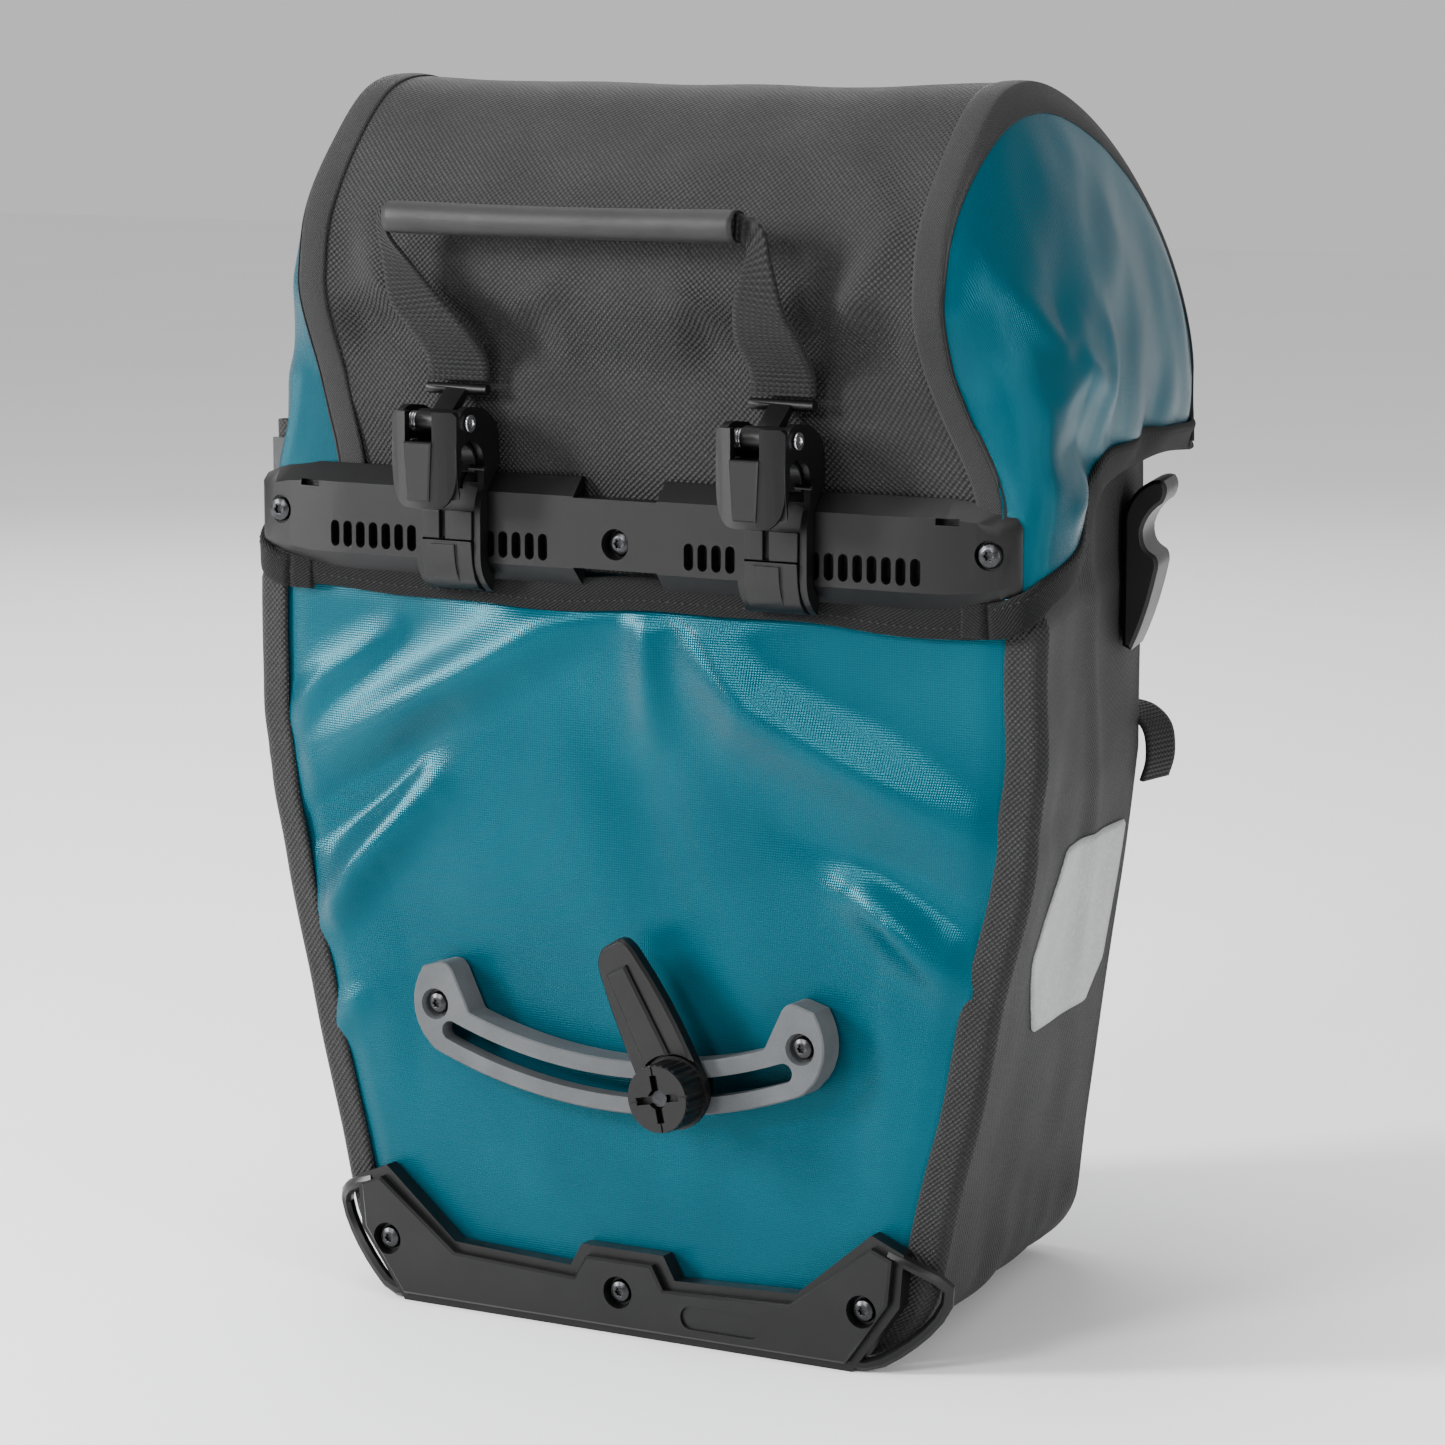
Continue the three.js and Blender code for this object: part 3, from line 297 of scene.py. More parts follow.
# ---- Materials ----
class Look:
    """A material with one Principled shader and short ways to add nodes to it; lengths in metres."""

    def __init__(self, name, roughness, metal=0.0, coat=0.0, sheen=0.0, specular=0.5, tint=None):
        self.mat = bpy.data.materials.new(name)
        self.mat.use_nodes = True
        self.tree = self.mat.node_tree
        self.shader = self.tree.nodes["Principled BSDF"]
        self.shader.inputs["Roughness"].default_value = roughness
        self.shader.inputs["Metallic"].default_value = metal
        self.shader.inputs["Specular IOR Level"].default_value = specular
        if tint:
            self.shader.inputs["Specular Tint"].default_value = (*tint, 1)
        if coat:
            self.shader.inputs["Coat Weight"].default_value = coat
            self.shader.inputs["Coat Roughness"].default_value = 0.22
        if sheen:
            self.shader.inputs["Sheen Weight"].default_value = sheen
            self.shader.inputs["Sheen Roughness"].default_value = 0.5
        coords = self.node("ShaderNodeTexCoord")
        self.solid_space = coords.outputs["Object"]
        self.cloth_space = coords.outputs["UV"]

    def node(self, kind, **settings):
        made = self.tree.nodes.new(kind)
        for key, value in settings.items():
            setattr(made, key, value)
        return made

    def link(self, a, b):
        self.tree.links.new(a, b)

    def math(self, operation, a, b=None):
        made = self.node("ShaderNodeMath", operation=operation)
        for socket, value in zip(made.inputs, (a, b)):
            if value is None:
                continue
            if isinstance(value, (int, float)):
                socket.default_value = value
            else:
                self.link(value, socket)
        return made.outputs[0]

    def blend(self, *parts):
        """Weighted sum of (value, weight) pairs."""
        total = None
        for value, weight in parts:
            value = value if weight == 1 else self.math("MULTIPLY", value, weight)
            total = value if total is None else self.math("ADD", total, value)
        return total

    def noise(self, space, scale, detail=3.0, roughness=0.5):
        made = self.node("ShaderNodeTexNoise")
        made.inputs["Scale"].default_value = scale
        made.inputs["Detail"].default_value = detail
        made.inputs["Roughness"].default_value = roughness
        self.link(space, made.inputs["Vector"])
        return made.outputs["Fac"]

    def turned(self, space, angle, stretch=(1, 1, 1)):
        made = self.node("ShaderNodeMapping")
        made.inputs["Rotation"].default_value[2] = angle
        made.inputs["Scale"].default_value = stretch
        self.link(space, made.inputs["Vector"])
        return made.outputs["Vector"]

    def waves(self, space, pitch_x, pitch_y):
        """The two sine waves of a regular cloth pattern, each from -1 to 1."""
        apart = self.node("ShaderNodeSeparateXYZ")
        self.link(space, apart.inputs[0])
        wave_x = self.math("SINE", self.math("MULTIPLY", apart.outputs[0], 2 * math.pi / pitch_x))
        wave_y = self.math("SINE", self.math("MULTIPLY", apart.outputs[1], 2 * math.pi / pitch_y))
        return wave_x, wave_y

    def colours(self, factor, *stops):
        made = self.node("ShaderNodeValToRGB")
        ramp = made.color_ramp
        while len(ramp.elements) < len(stops):
            ramp.elements.new(0.5)
        for element, (place, colour) in zip(ramp.elements, stops):
            element.position = place
            element.color = (*colour, 1)
        self.link(factor, made.inputs["Fac"])
        self.link(made.outputs["Color"], self.shader.inputs["Base Color"])
        return self

    def shine(self, factor, low, high):
        made = self.node("ShaderNodeMapRange")
        made.inputs["To Min"].default_value = low
        made.inputs["To Max"].default_value = high
        self.link(factor, made.inputs["Value"])
        self.link(made.outputs["Result"], self.shader.inputs["Roughness"])
        return self

    def relief(self, height, depth, strength=1.0):
        made = self.node("ShaderNodeBump")
        made.inputs["Distance"].default_value = depth
        made.inputs["Strength"].default_value = strength
        self.link(height, made.inputs["Height"])
        self.link(made.outputs["Normal"], self.shader.inputs["Normal"])
        return self


def coated_cloth():
    """Glossy teal coating with a fine embossed grid; its reflections keep some of the colour."""
    emboss = 1.15 * MM
    look = Look("coated cloth", 0.24, specular=0.3, tint=(0.2, 0.8, 1.0))
    space = look.turned(look.cloth_space, math.radians(45))
    a, b = look.waves(space, emboss, emboss)
    dimple = look.math("MULTIPLY", a, b)
    cloud = look.noise(look.cloth_space, 14, 4)
    fine = look.noise(look.cloth_space, 900, 2)
    tone = look.blend((dimple, 0.13), (cloud, 0.75))
    look.colours(tone, (0.15, (0.0, 0.028, 0.043)), (0.5, (0.0, 0.044, 0.064)),
                 (0.85, (0.0, 0.066, 0.093)))
    look.shine(look.blend((dimple, 0.18), (cloud, 1)), 0.16, 0.30)
    look.relief(look.blend((dimple, 1), (fine, 0.4)), 0.045 * MM, 0.7)
    return look.mat


def woven_cloth():
    """Black basket weave with pale painted glints on its threads, which are also smoother, and painted
    shade darkening the dips of the weave.
    """
    weave = 2.0 * MM
    look = Look("woven cloth", 0.6, sheen=0.03, specular=0.3)
    a, b = look.waves(look.cloth_space, weave, weave)
    basket = look.math("MULTIPLY", a, b)
    thread_and_painted_glint = look.noise(look.turned(look.cloth_space, 0, (1, 0.25, 1)), 2600, 2)
    cloud = look.noise(look.cloth_space, 40, 4)
    tone = look.blend((basket, 0.24), (thread_and_painted_glint, 0.75), (look.math("SUBTRACT", cloud, 0.5), 0.35))
    # painted light: the pale stop paints glints on the threads, and the basket term darkens the weave's
    # dips, partly as its pattern and partly as painted shade
    look.colours(tone, (0.12, (0.0006, 0.0006, 0.0007)), (0.5, (0.0032, 0.0032, 0.0034)),
                 (0.88, (0.028, 0.028, 0.029)))
    look.shine(tone, 0.8, 0.42)
    look.relief(look.blend((basket, 1), (thread_and_painted_glint, 0.8)), 0.28 * MM, 0.9)
    return look.mat


def tape_cloth():
    """Matt black twill of the bindings."""
    look = Look("binding tape", 0.8, sheen=0.03, specular=0.15)
    space = look.turned(look.cloth_space, math.radians(30))
    a, b = look.waves(space, 0.9 * MM, 1.8 * MM)
    twill = look.blend((a, 1), (b, 0.35))
    fuzz = look.noise(look.cloth_space, 2400, 2)
    tone = look.blend((twill, 0.16), (fuzz, 0.8))
    look.colours(tone, (0.15, (0.0008, 0.0008, 0.0009)), (0.5, (0.0030, 0.0030, 0.0032)),
                 (0.9, (0.014, 0.014, 0.015)))
    look.shine(tone, 0.88, 0.62)
    look.relief(twill, 0.16 * MM, 0.8)
    return look.mat


def seam_cloth():
    """Paler, finer weave of the seam bands and the stitches."""
    grain_pitch = 0.85 * MM
    look = Look("seam band", 0.62, sheen=0.04, specular=0.25)
    a, b = look.waves(look.cloth_space, grain_pitch, grain_pitch)
    grain = look.math("MULTIPLY", a, b)
    fuzz = look.noise(look.cloth_space, 1800, 2)
    tone = look.blend((grain, 0.2), (fuzz, 0.8))
    look.colours(tone, (0.1, (0.0025, 0.0025, 0.0027)), (0.5, (0.0085, 0.0085, 0.0089)),
                 (0.9, (0.026, 0.026, 0.027)))
    look.shine(tone, 0.75, 0.5)
    look.relief(grain, 0.14 * MM, 0.8)
    return look.mat


def webbing_cloth():
    """Ribbed black webbing; its ribs run across the strap."""
    look = Look("webbing", 0.7, sheen=0.04, specular=0.2)
    a, b = look.waves(look.cloth_space, 2.2 * MM, 1.7 * MM)
    crossed = look.math("MULTIPLY", a, b)
    ribs = look.blend((b, 0.8), (crossed, 0.5))
    fuzz = look.noise(look.cloth_space, 2600, 2)
    tone = look.blend((ribs, 0.2), (fuzz, 0.8))
    look.colours(tone, (0.1, (0.0012, 0.0012, 0.0013)), (0.5, (0.0045, 0.0045, 0.0048)),
                 (0.9, (0.020, 0.020, 0.021)))
    look.shine(tone, 0.85, 0.55)
    look.relief(ribs, 0.3 * MM, 0.9)
    return look.mat


def moulded(name, dark, mid, pale, low, high, grain):
    """Moulded plastic: three shades, its smoothest and roughest shine, and the depth of its grain."""
    look = Look(name, 0.5, specular=0.27)
    cloud = look.noise(look.solid_space, 60, 4)
    spark = look.noise(look.solid_space, 2600, 3, 0.6)
    tone = look.blend((cloud, 0.55), (spark, 0.45))
    look.colours(tone, (0.3, dark), (0.5, mid), (0.72, pale))
    look.shine(tone, high, low)
    look.relief(spark, grain, 0.55)
    return look.mat


def metal(name, dark, pale, low, high):
    look = Look(name, 0.3, metal=1.0)
    streak = look.noise(look.turned(look.solid_space, 0, (1, 8, 8)), 500, 3)
    cloud = look.noise(look.solid_space, 200, 3)
    look.colours(look.blend((streak, 0.5), (cloud, 0.5)), (0.3, dark), (0.7, pale))
    look.shine(streak, low, high)
    look.relief(streak, 0.03 * MM, 0.4)
    return look.mat


def grip_rubber():
    look = Look("grip rubber", 0.62, specular=0.4)
    streak = look.noise(look.turned(look.solid_space, 0, (0.15, 1, 1)), 1500, 4)
    cloud = look.noise(look.solid_space, 90, 3)
    tone = look.blend((streak, 0.5), (cloud, 0.5))
    look.colours(tone, (0.3, (0.0018, 0.0018, 0.0019)), (0.7, (0.0070, 0.0070, 0.0074)))
    look.shine(tone, 0.72, 0.5)
    look.relief(streak, 0.06 * MM, 0.6)
    return look.mat


def reflective():
    """Pale patch of fine reflecting cells."""
    look = Look("reflective patch", 0.4, coat=0.2, specular=0.6)
    cells = look.node("ShaderNodeTexVoronoi")
    cells.inputs["Scale"].default_value = 900
    look.link(look.cloth_space, cells.inputs["Vector"])
    cloud = look.noise(look.cloth_space, 60, 4)
    tone = look.blend((cells.outputs["Distance"], 0.5), (cloud, 0.6))
    look.colours(tone, (0.2, (0.12, 0.125, 0.13)), (0.5, (0.18, 0.185, 0.19)), (0.9, (0.32, 0.325, 0.33)))
    look.shine(tone, 0.3, 0.55)
    look.relief(cells.outputs["Distance"], 0.05 * MM, 0.6)
    return look.mat


TEAL = coated_cloth()
WOVEN = woven_cloth()
TAPE = tape_cloth()
SEAM = seam_cloth()
WEBBING = webbing_cloth()
GRIP_LOOK = grip_rubber()
REFLECTIVE = reflective()
PLASTIC = moulded("black plastic", (0.0008, 0.0008, 0.0009), (0.0020, 0.0020, 0.0022),
                  (0.0050, 0.0050, 0.0053), 0.28, 0.46, 0.04 * MM)
GREY = moulded("grey plastic", (0.042, 0.045, 0.048), (0.060, 0.064, 0.068), (0.082, 0.087, 0.092),
               0.36, 0.55, 0.04 * MM)
BOARD = moulded("board", (0.030, 0.031, 0.033), (0.042, 0.043, 0.045), (0.060, 0.061, 0.063),
                0.6, 0.8, 0.08 * MM)
STEEL = metal("bright steel", (0.42, 0.42, 0.43), (0.72, 0.72, 0.74), 0.18, 0.38)
DARK_STEEL = metal("dark screw", (0.02, 0.02, 0.022), (0.06, 0.06, 0.064), 0.25, 0.42)

# ---- Hard parts keep their CAD meshes ----
FINISHES = {
    "rail": PLASTIC, "arc_track": GREY, "bottom_guard": PLASTIC, "fin": PLASTIC, "knob": PLASTIC,
    "hook_body": PLASTIC, "hook_catch": PLASTIC, "reducer_insert": PLASTIC, "clamp_lock": PLASTIC,
    "clamp_jaw": PLASTIC, "side_hook": PLASTIC, "buckle": PLASTIC, "hook_pin": STEEL,
    # the carriage bolt takes the dark screw finish so that the knob's recess reads black: painted shade in
    # the recess
    "catch_spring": STEEL, "carriage_bolt": DARK_STEEL, "rail_screw": DARK_STEEL, "guard_screw": DARK_STEEL,
    "track_screw": DARK_STEEL, "back_stiffener": BOARD, "rail_backing": BOARD,
}
# Rounding of the edges in mm, 0.2 where a kind isn't listed.
EDGE = {"rail": 0.7, "bottom_guard": 0.7, "arc_track": 0.5, "fin": 0.6, "side_hook": 0.8,
        "hook_body": 0.35, "clamp_jaw": 0.4}


def dress_hard_parts():
    """Finish and rounded edges for every hard node; its own mesh stays as it is."""
    for name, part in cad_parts.items():
        kind = next((k for k in sorted(FINISHES, key=len, reverse=True) if name.startswith(k)), None)
        if kind is None:
            continue
        part.data.materials.clear()
        part.data.materials.append(FINISHES[kind])
        part.data.polygons.foreach_set("use_smooth", [True] * len(part.data.polygons))
        joined = part.modifiers.new("joined", "WELD")
        joined.merge_threshold = 0.01 * MM
        rounded = part.modifiers.new("rounded", "BEVEL")
        rounded.width = EDGE.get(kind, 0.2) * MM
        rounded.segments = 2
        rounded.limit_method = "ANGLE"
        rounded.angle_limit = math.radians(38)
        even = part.modifiers.new("even", "WEIGHTED_NORMAL")
        even.keep_sharp = False


# ---- Body skins ----
LID_COVERS = 247 * MM           # above this the lid hides the body
TUCK = 6 * MM                   # how far the body draws in under the lid
KINK = 2.2 * MM                 # pinch of the outline at the shoulder
BACK_CORNER = 30 * MM           # rounding of the lower corners, seen from the back
FRONT_CORNER = 24 * MM
BACK_TOE = 12 * MM              # rounding of the lower edges, seen from the side
FRONT_TOE = 16 * MM
PROUD = 0.9 * MM                # the gusset's strip lies on the back by this
TURN = 5 * MM                   # radius of the fold between the back and a gusset
FRONT_TURN = 9 * MM
FOLD_STEPS = 8
SIDE_STEPS = 54
BODY_ROWS = 150
GATHER = 0.15                   # rows lie a little closer towards the floor
FOLD_STRENGTH = 1.5
BOARD_STOP = 0.9 * MM           # the back can't sink further than this onto its board

# Folds of the coated back: a line of (x, z) in mm, its width, and its height.
BACK_FOLDS = (
    ([(-14, 246), (-60, 222), (-126, 188)], 11, 5.2),
    ([(-80, 178), (-108, 150), (-124, 128)], 8.5, 4.6),
    ([(-70, 205), (-100, 180), (-134, 158)], 7, -2.6),
    ([(-95, 232), (-122, 215), (-140, 196)], 6, 1.8),
    ([(6, 250), (7, 232), (9, 205)], 7, 2.4),
    ([(22, 240), (46, 215), (90, 197), (137, 176)], 12, 4.6),
    ([(84, 160), (104, 147), (127, 128)], 8, 3.8),
    ([(60, 176), (96, 166), (132, 152)], 8, -2.0),
    ([(-104, 106), (-116, 98), (-122, 84)], 6, 1.4),
    ([(-20, 215), (0, 190), (10, 160)], 16, -1.4),
)


def fold_heights(folds, across, up):
    """Sum of a table's folds at a place given in metres; the result is in mm."""
    return sum(ridge(across / MM, up / MM, line, width, height) for line, width, height in folds)


def taper(z, low, top):
    return mix(low, top, clamp(z / Z_SHOULDER))


def tucked(z):
    """The body's edge draws in where the lid covers it."""
    return TUCK * rise(z, LID_COVERS, 13 * MM)


def half_back(z, side):
    kink = KINK * bump(z - Z_SHOULDER, 11 * MM)
    waver = 0.9 * MM * rough(side * 3, 0, z, 28)
    return taper(z, HALF_LOW, HALF_TOP) - ease_corner(z, BACK_CORNER) - kink + waver - tucked(z)


def half_front(z):
    return taper(z, FRONT_LOW, FRONT_TOP) - ease_corner(z, FRONT_CORNER)


def back_relief(x, z):
    """How far the coated back stands out towards the rack, in metres."""
    share = x / (HALF_TOP - STRIP)
    crown = 1.5 * MM * (1 - min(1, share * share))
    folds = fold_heights(BACK_FOLDS, x, z) * FOLD_STRENGTH * MM
    ripple = 0.7 * MM * rough(x, 3.1, z, 26)
    above_track = rise(z, 100 * MM, 60 * MM)
    beside_track = rise(abs(x), 84 * MM, 16 * MM) * rise(z, 50 * MM, 30 * MM)
    free = max(above_track, beside_track) * (1 - rise(z, 240 * MM, 12 * MM))
    return max(-BOARD_STOP, (crown + folds + ripple) * free)


def body_y_back(z):
    return Y_BACK + 0.8 * MM + ease_corner(z, BACK_TOE) + tucked(z) * 0.5


def body_y_front(z):
    return Y_FRONT - ease_corner(z, FRONT_TOE)


def levels(count):
    """Heights from the floor to the top of the body."""
    return [mix(Z_FLOOR, Z_TOP, (i / count) ** (1 + GATHER)) for i in range(count + 1)]


def make_back():
    columns = 150
    overlap = 3 * MM            # runs under the gussets' strips
    edge_band, edge_drop = 12 * MM, 1.6 * MM
    rows = []
    for z in levels(BODY_ROWS):
        half = (half_back(z, 1) + half_back(z, -1)) / 2 - STRIP + overlap
        row = []
        for i in range(columns + 1):
            x = half * mix(-1, 1, i / columns)
            edge = edge_drop * rise(abs(x), half - edge_band, edge_band)
            row.append((x, body_y_back(z) - back_relief(x, z) + edge, z))
        rows.append(row)
    skin = grid("back_skin", rows, material=TEAL, slot="coated_cloth", thick=CLOTH)
    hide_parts("back_panel")
    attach(skin, "root")


def make_front():
    columns = 60
    seam, set_in, belly = 7 * MM, 7.7 * MM, 3.0 * MM
    rows = []
    for z in levels(60):
        half = half_front(z) - seam
        row = []
        for i in range(columns + 1):
            x = half * mix(1, -1, i / columns)
            swell = belly * (1 - (x / FRONT_TOP) ** 2) * math.sin(math.pi * clamp(z / Z_TOP))
            swell += 0.8 * MM * rough(x, 8, z, 22)
            row.append((x, body_y_front(z) - set_in + swell, z))
        rows.append(row)
    skin = grid("front_skin", rows, material=TEAL, slot="coated_cloth", thick=CLOTH)
    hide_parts("front_panel")
    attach(skin, "root")


def side_wrinkle(y, z, side):
    """Sag and creases of a gusset, in metres outwards."""
    depth = clamp((y - Y_FOLD) / (Y_FRONT - Y_FOLD))
    hollow = -3.0 * MM * math.sin(math.pi * depth) * rise(z, 60 * MM, 80 * MM)
    crease_at = 0.62 + 0.1 * math.sin(z * 18)
    crease = 1.6 * MM * bump(depth - crease_at, 0.05) * rise(z, 90 * MM, 60 * MM)
    slack = 1.5 * MM * rough(side * 2 + y * 0.6, y, z * 0.7, 24)
    low = 2.4 * MM * rough(side * 5, y * 1.6, z * 1.2, 30) * (1 - rise(z, 0, 80 * MM))
    shoulder = -1.8 * MM * bump(z - Z_SHOULDER + 30 * MM * depth, 9 * MM) * (1 - depth)
    return hollow + crease + slack + low + shoulder


def side_x(y, z, side):
    """Outer face of a gusset at a place on it."""
    along = (y - body_y_back(z)) / (body_y_front(z) - body_y_back(z))
    flat = mix(half_back(z, side), half_front(z), along)
    return flat + side_wrinkle(y, z, side) * math.sin(math.pi * clamp(along)) ** 0.5


def gusset_row(z, side):
    """One level of a gusset: its strip on the back, the fold, the side, and the front fold."""
    half, back, front = half_back(z, side), body_y_back(z), body_y_front(z)
    path = []
    for i in range(FOLD_STEPS + 1):
        t = i / FOLD_STEPS
        piping = 0.9 * MM * bump(t, 0.12)
        path.append((mix(half - STRIP, half - TURN, t), back - PROUD + piping + PROUD * t))
    for i in range(1, FOLD_STEPS + 1):
        angle = math.pi / 2 * i / FOLD_STEPS
        path.append((half - TURN + TURN * math.sin(angle), back + TURN * (1 - math.cos(angle))))
    start, end = back + TURN, front - FRONT_TURN
    for i in range(1, SIDE_STEPS + 1):
        y = mix(start, end, i / SIDE_STEPS)
        path.append((side_x(y, z, side), y))
    last_x = path[-1][0]
    for i in range(1, FOLD_STEPS + 1):
        angle = math.pi / 2 * i / FOLD_STEPS
        path.append((last_x - FRONT_TURN * (1 - math.cos(angle)), end + FRONT_TURN * math.sin(angle)))
    path.append((last_x - FRONT_TURN - STRIP * 0.5, front))
    return [(side * x, y, z) for x, y in path]


def make_gussets():
    for side, word in SIDES:
        rows = [gusset_row(z, side) for z in levels(BODY_ROWS)]
        if side < 0:
            rows = [list(reversed(row)) for row in rows]
        skin = grid(f"gusset_skin_{word}", rows, material=WOVEN, slot="woven_cloth", thick=CLOTH)
        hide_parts(f"side_gusset_{word}")
        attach(skin, "root")


def make_base():
    right = gusset_row(Z_FLOOR, 1)
    left = [(-x, y, z) for x, y, z in reversed(right)]
    outline = [point[:2] for point in right + left]
    centre = (0.0, (Y_FOLD + Y_FRONT) / 2)
    rings, lift = 14, 1.0 * MM

    def place(x, y):
        sag = 0.6 * MM * rough(x, y, 0, 30)
        return (x, y, Z_FLOOR + lift + sag * rise(abs(y - centre[1]), 0, 60 * MM))

    skin = disc("base_skin", outline, centre, rings, place, material=WOVEN, slot="woven_cloth",
                thick=CLOTH, offset=1.0)
    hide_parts("bottom_panel")
    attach(skin, "root")


# ---- Lid skins ----
REAR_ROUND = 2.6                # how square the lid's section is towards the rack
FRONT_ROUND = 1.55              # and how pointed towards the front
HOOK_MIDDLE = 67 * MM           # middle of a hook's travel along the rail
HOOK_TRAVEL = 33 * MM           # half of its travel and half of the hook's width
BULGE = 11.5 * MM
LID_STEPS = 110
BAND_WIDE = 10 * MM
BAND_PROUD = 0.9 * MM
REAR_SHARE = 0.16               # share of the cheek's upper edge that stands behind the rail
ARCH_SHARE = 0.93               # share of the rest that follows the arch
TAPE_THICK = 3.0 * MM
STITCH_PITCH = 2.9 * MM

# Folds of the lid's rear wall, running to the hooks' cross bars: (x, z) in mm, width, height.
STRIP_FOLDS = (
    ([(-18, 356), (-42, 338), (-58, 322)], 5.5, 2.6), ([(-100, 372), (-84, 342), (-70, 322)], 6, 2.8),
    ([(-36, 330), (-50, 318), (-58, 308)], 4, -1.8), ([(-112, 340), (-92, 326), (-78, 316)], 5, 2.0),
    ([(24, 352), (42, 336), (56, 322)], 5.5, 2.6), ([(104, 374), (88, 344), (74, 324)], 6.5, 3.4),
    ([(78, 360), (74, 342), (68, 326)], 5, -2.0), ([(116, 346), (98, 328), (80, 316)], 5.5, 2.6),
    ([(112, 318), (96, 308), (84, 300)], 4.5, 1.6), ([(-30, 392), (10, 386), (60, 394)], 8, 1.2),
    ([(60, 402), (90, 388), (112, 360)], 8, 1.8), ([(-116, 392), (-104, 366), (-110, 340)], 7, -1.8),
)

# Creases of a coated cheek: (mm forward of the fold, z in mm), width, height.
CHEEK_FOLDS = (
    ([(-2, 352), (14, 338), (30, 346)], 6, 3.0), ([(4, 318), (26, 330), (52, 318)], 7, 3.6),
    ([(0, 300), (22, 306), (46, 298)], 6, -2.6), ([(40, 352), (52, 330), (48, 306)], 7, 2.8),
    ([(120, 392), (142, 350), (158, 302)], 9, 4.2), ([(96, 386), (110, 350), (118, 306)], 10, -2.8),
    ([(8, 282), (20, 288), (30, 296)], 5, 2.2),
)

# The cheek's lower edge, from the rail's end forward: mm forward of the fold, height, out.
CHEEK_EDGE = [Vector(place) for place in (
    (-9.5, 247, 125), (-9.5, 247.5, 139), (-6.5, 251.5, 147), (1, 257, 150.5), (12, 261, 151),
    (23, 266, 149.5), (34, 276.5, 147), (45, 284.5, 144), (62, 290.5, 140.5), (98, 293, 133),
    (140, 293.5, 125), (177, 291, 118))]


def arch_point(t):
    """The lid's section: t from 0 at the rear spring line, over the top, to 1 at the front one."""
    angle = math.pi * (1 - t)
    forward, up = math.cos(angle), max(0.0, math.sin(angle))
    power = 2 / (FRONT_ROUND if forward > 0 else REAR_ROUND)
    reach = LID[1].y - LID_CREST if forward > 0 else LID_CREST - LID[0].y
    y = LID_CREST + reach * math.copysign(abs(forward) ** power, forward)
    return y, LID_SPRING + LID_RISE * up ** power


def rear_share(y, depth):
    """1 on the lid's rear wall, falling to 0 at this depth behind it."""
    return 1 - rise(y, LID[0].y, depth)


def hook_pocket(x, z):
    """1 where the hooks and their cross bars slide in front of the lid, 0 elsewhere."""
    across = 1 - rise(abs(abs(x) - HOOK_MIDDLE), HOOK_TRAVEL, 14 * MM)
    return across * (1 - rise(z, 330 * MM, 22 * MM))


def rear_bulge(x, y, z):
    """The rear wall of the lid leans out over the rail, and is drawn in behind the two hooks."""
    height = rise(z, 318 * MM, 36 * MM) * (1 - rise(z, 368 * MM, 46 * MM))
    return BULGE * rear_share(y, 60 * MM) * height * (1 - 0.9 * hook_pocket(x, z))


def lid_profile():
    """Points (y, z) from the flap behind the rail, over the lid, to its front edge."""
    flap_y = FLAP[0].y + 0.2 * MM
    start = [(flap_y, FLAP[0].z), (flap_y, 275 * MM), (flap_y, 290 * MM),
             (flap_y - 0.9 * MM, 302 * MM), (LID[0].y, 311 * MM)]
    evenly = [i / LID_STEPS for i in range(LID_STEPS + 1)]
    over = [arch_point(mix(t, smooth(t), 0.55)) for t in evenly]
    end = [(LID[1].y, 311 * MM), (LID[1].y + 0.6 * MM, 304 * MM), (LID[1].y + 1 * MM, LID_EDGE - 6 * MM)]
    return start + over + end


def lid_outward(y, z):
    """Direction out of the lid at a place of its section."""
    out = Vector((0, y - LID_MIDDLE, max(0.0, z - LID_SPRING + 10 * MM) * 1.1))
    return out.normalized() if out.length > 1e-6 else Vector((0, 1, 0))


def strip_half(y, z, side):
    """Reach of the woven strip to one side; at the rail it lies skewed, further out on the right."""
    low = 1 - rise(z, 283 * MM, 50 * MM)
    end = RAIL[1].x - 6 * MM if side > 0 else SEAM_X - 9 * MM
    return SEAM_X + rear_share(y, 12 * MM) * low * (end - SEAM_X)


def strip_fold(x, y, z):
    """Creases of the rear wall of the lid, running to the hooks' cross bars, in metres outwards."""
    rear = rear_share(y, 50 * MM)
    if rear <= 0:
        return 0.0
    strength = 1.6 * MM * (1 - 0.85 * hook_pocket(x, z))
    return fold_heights(STRIP_FOLDS, x, z) * strength * rear


def strip_wrinkle(x, y, z):
    """Drape of the woven strip: pulled lines at the hooks, slack cloth, and a dip along the crest."""
    pull = 0.0
    for at in (-62, 62):
        lean = (x / MM - at) * 0.45 + (z / MM - 330) * (0.5 if at > 0 else -0.5)
        pull += math.sin(lean * 0.32) * bump(x / MM - at, 42) * bump(z / MM - 338, 34)
    drape = rough(x * 1.3 + z * 0.8, y * 0.8, z * 0.7, 20)
    dip = 1.76 * MM * rise(z, 395 * MM, 20 * MM) * math.cos(x / SEAM_X * math.pi / 2)
    return -(0.432 * MM * (pull + 1) * rear_share(y, 30 * MM) + 1.04 * MM * (drape + 0.6) + dip)


def strip_point(x_share, y, z):
    """A place on the woven strip; x_share runs from -1 to 1 across it."""
    x = x_share * strip_half(y, z, x_share)
    free = rise(z, 306 * MM, 26 * MM) * (1 - abs(x_share) ** 6)
    shift = (strip_wrinkle(x, y, z) + strip_fold(x, y, z)) * free
    out = lid_outward(y, z)
    return (x, y + out.y * shift - rear_bulge(x, y, z), z + out.z * shift)


def lid_blend(piece):
    """Bakes the piece's placement into its mesh."""
    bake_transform(piece)


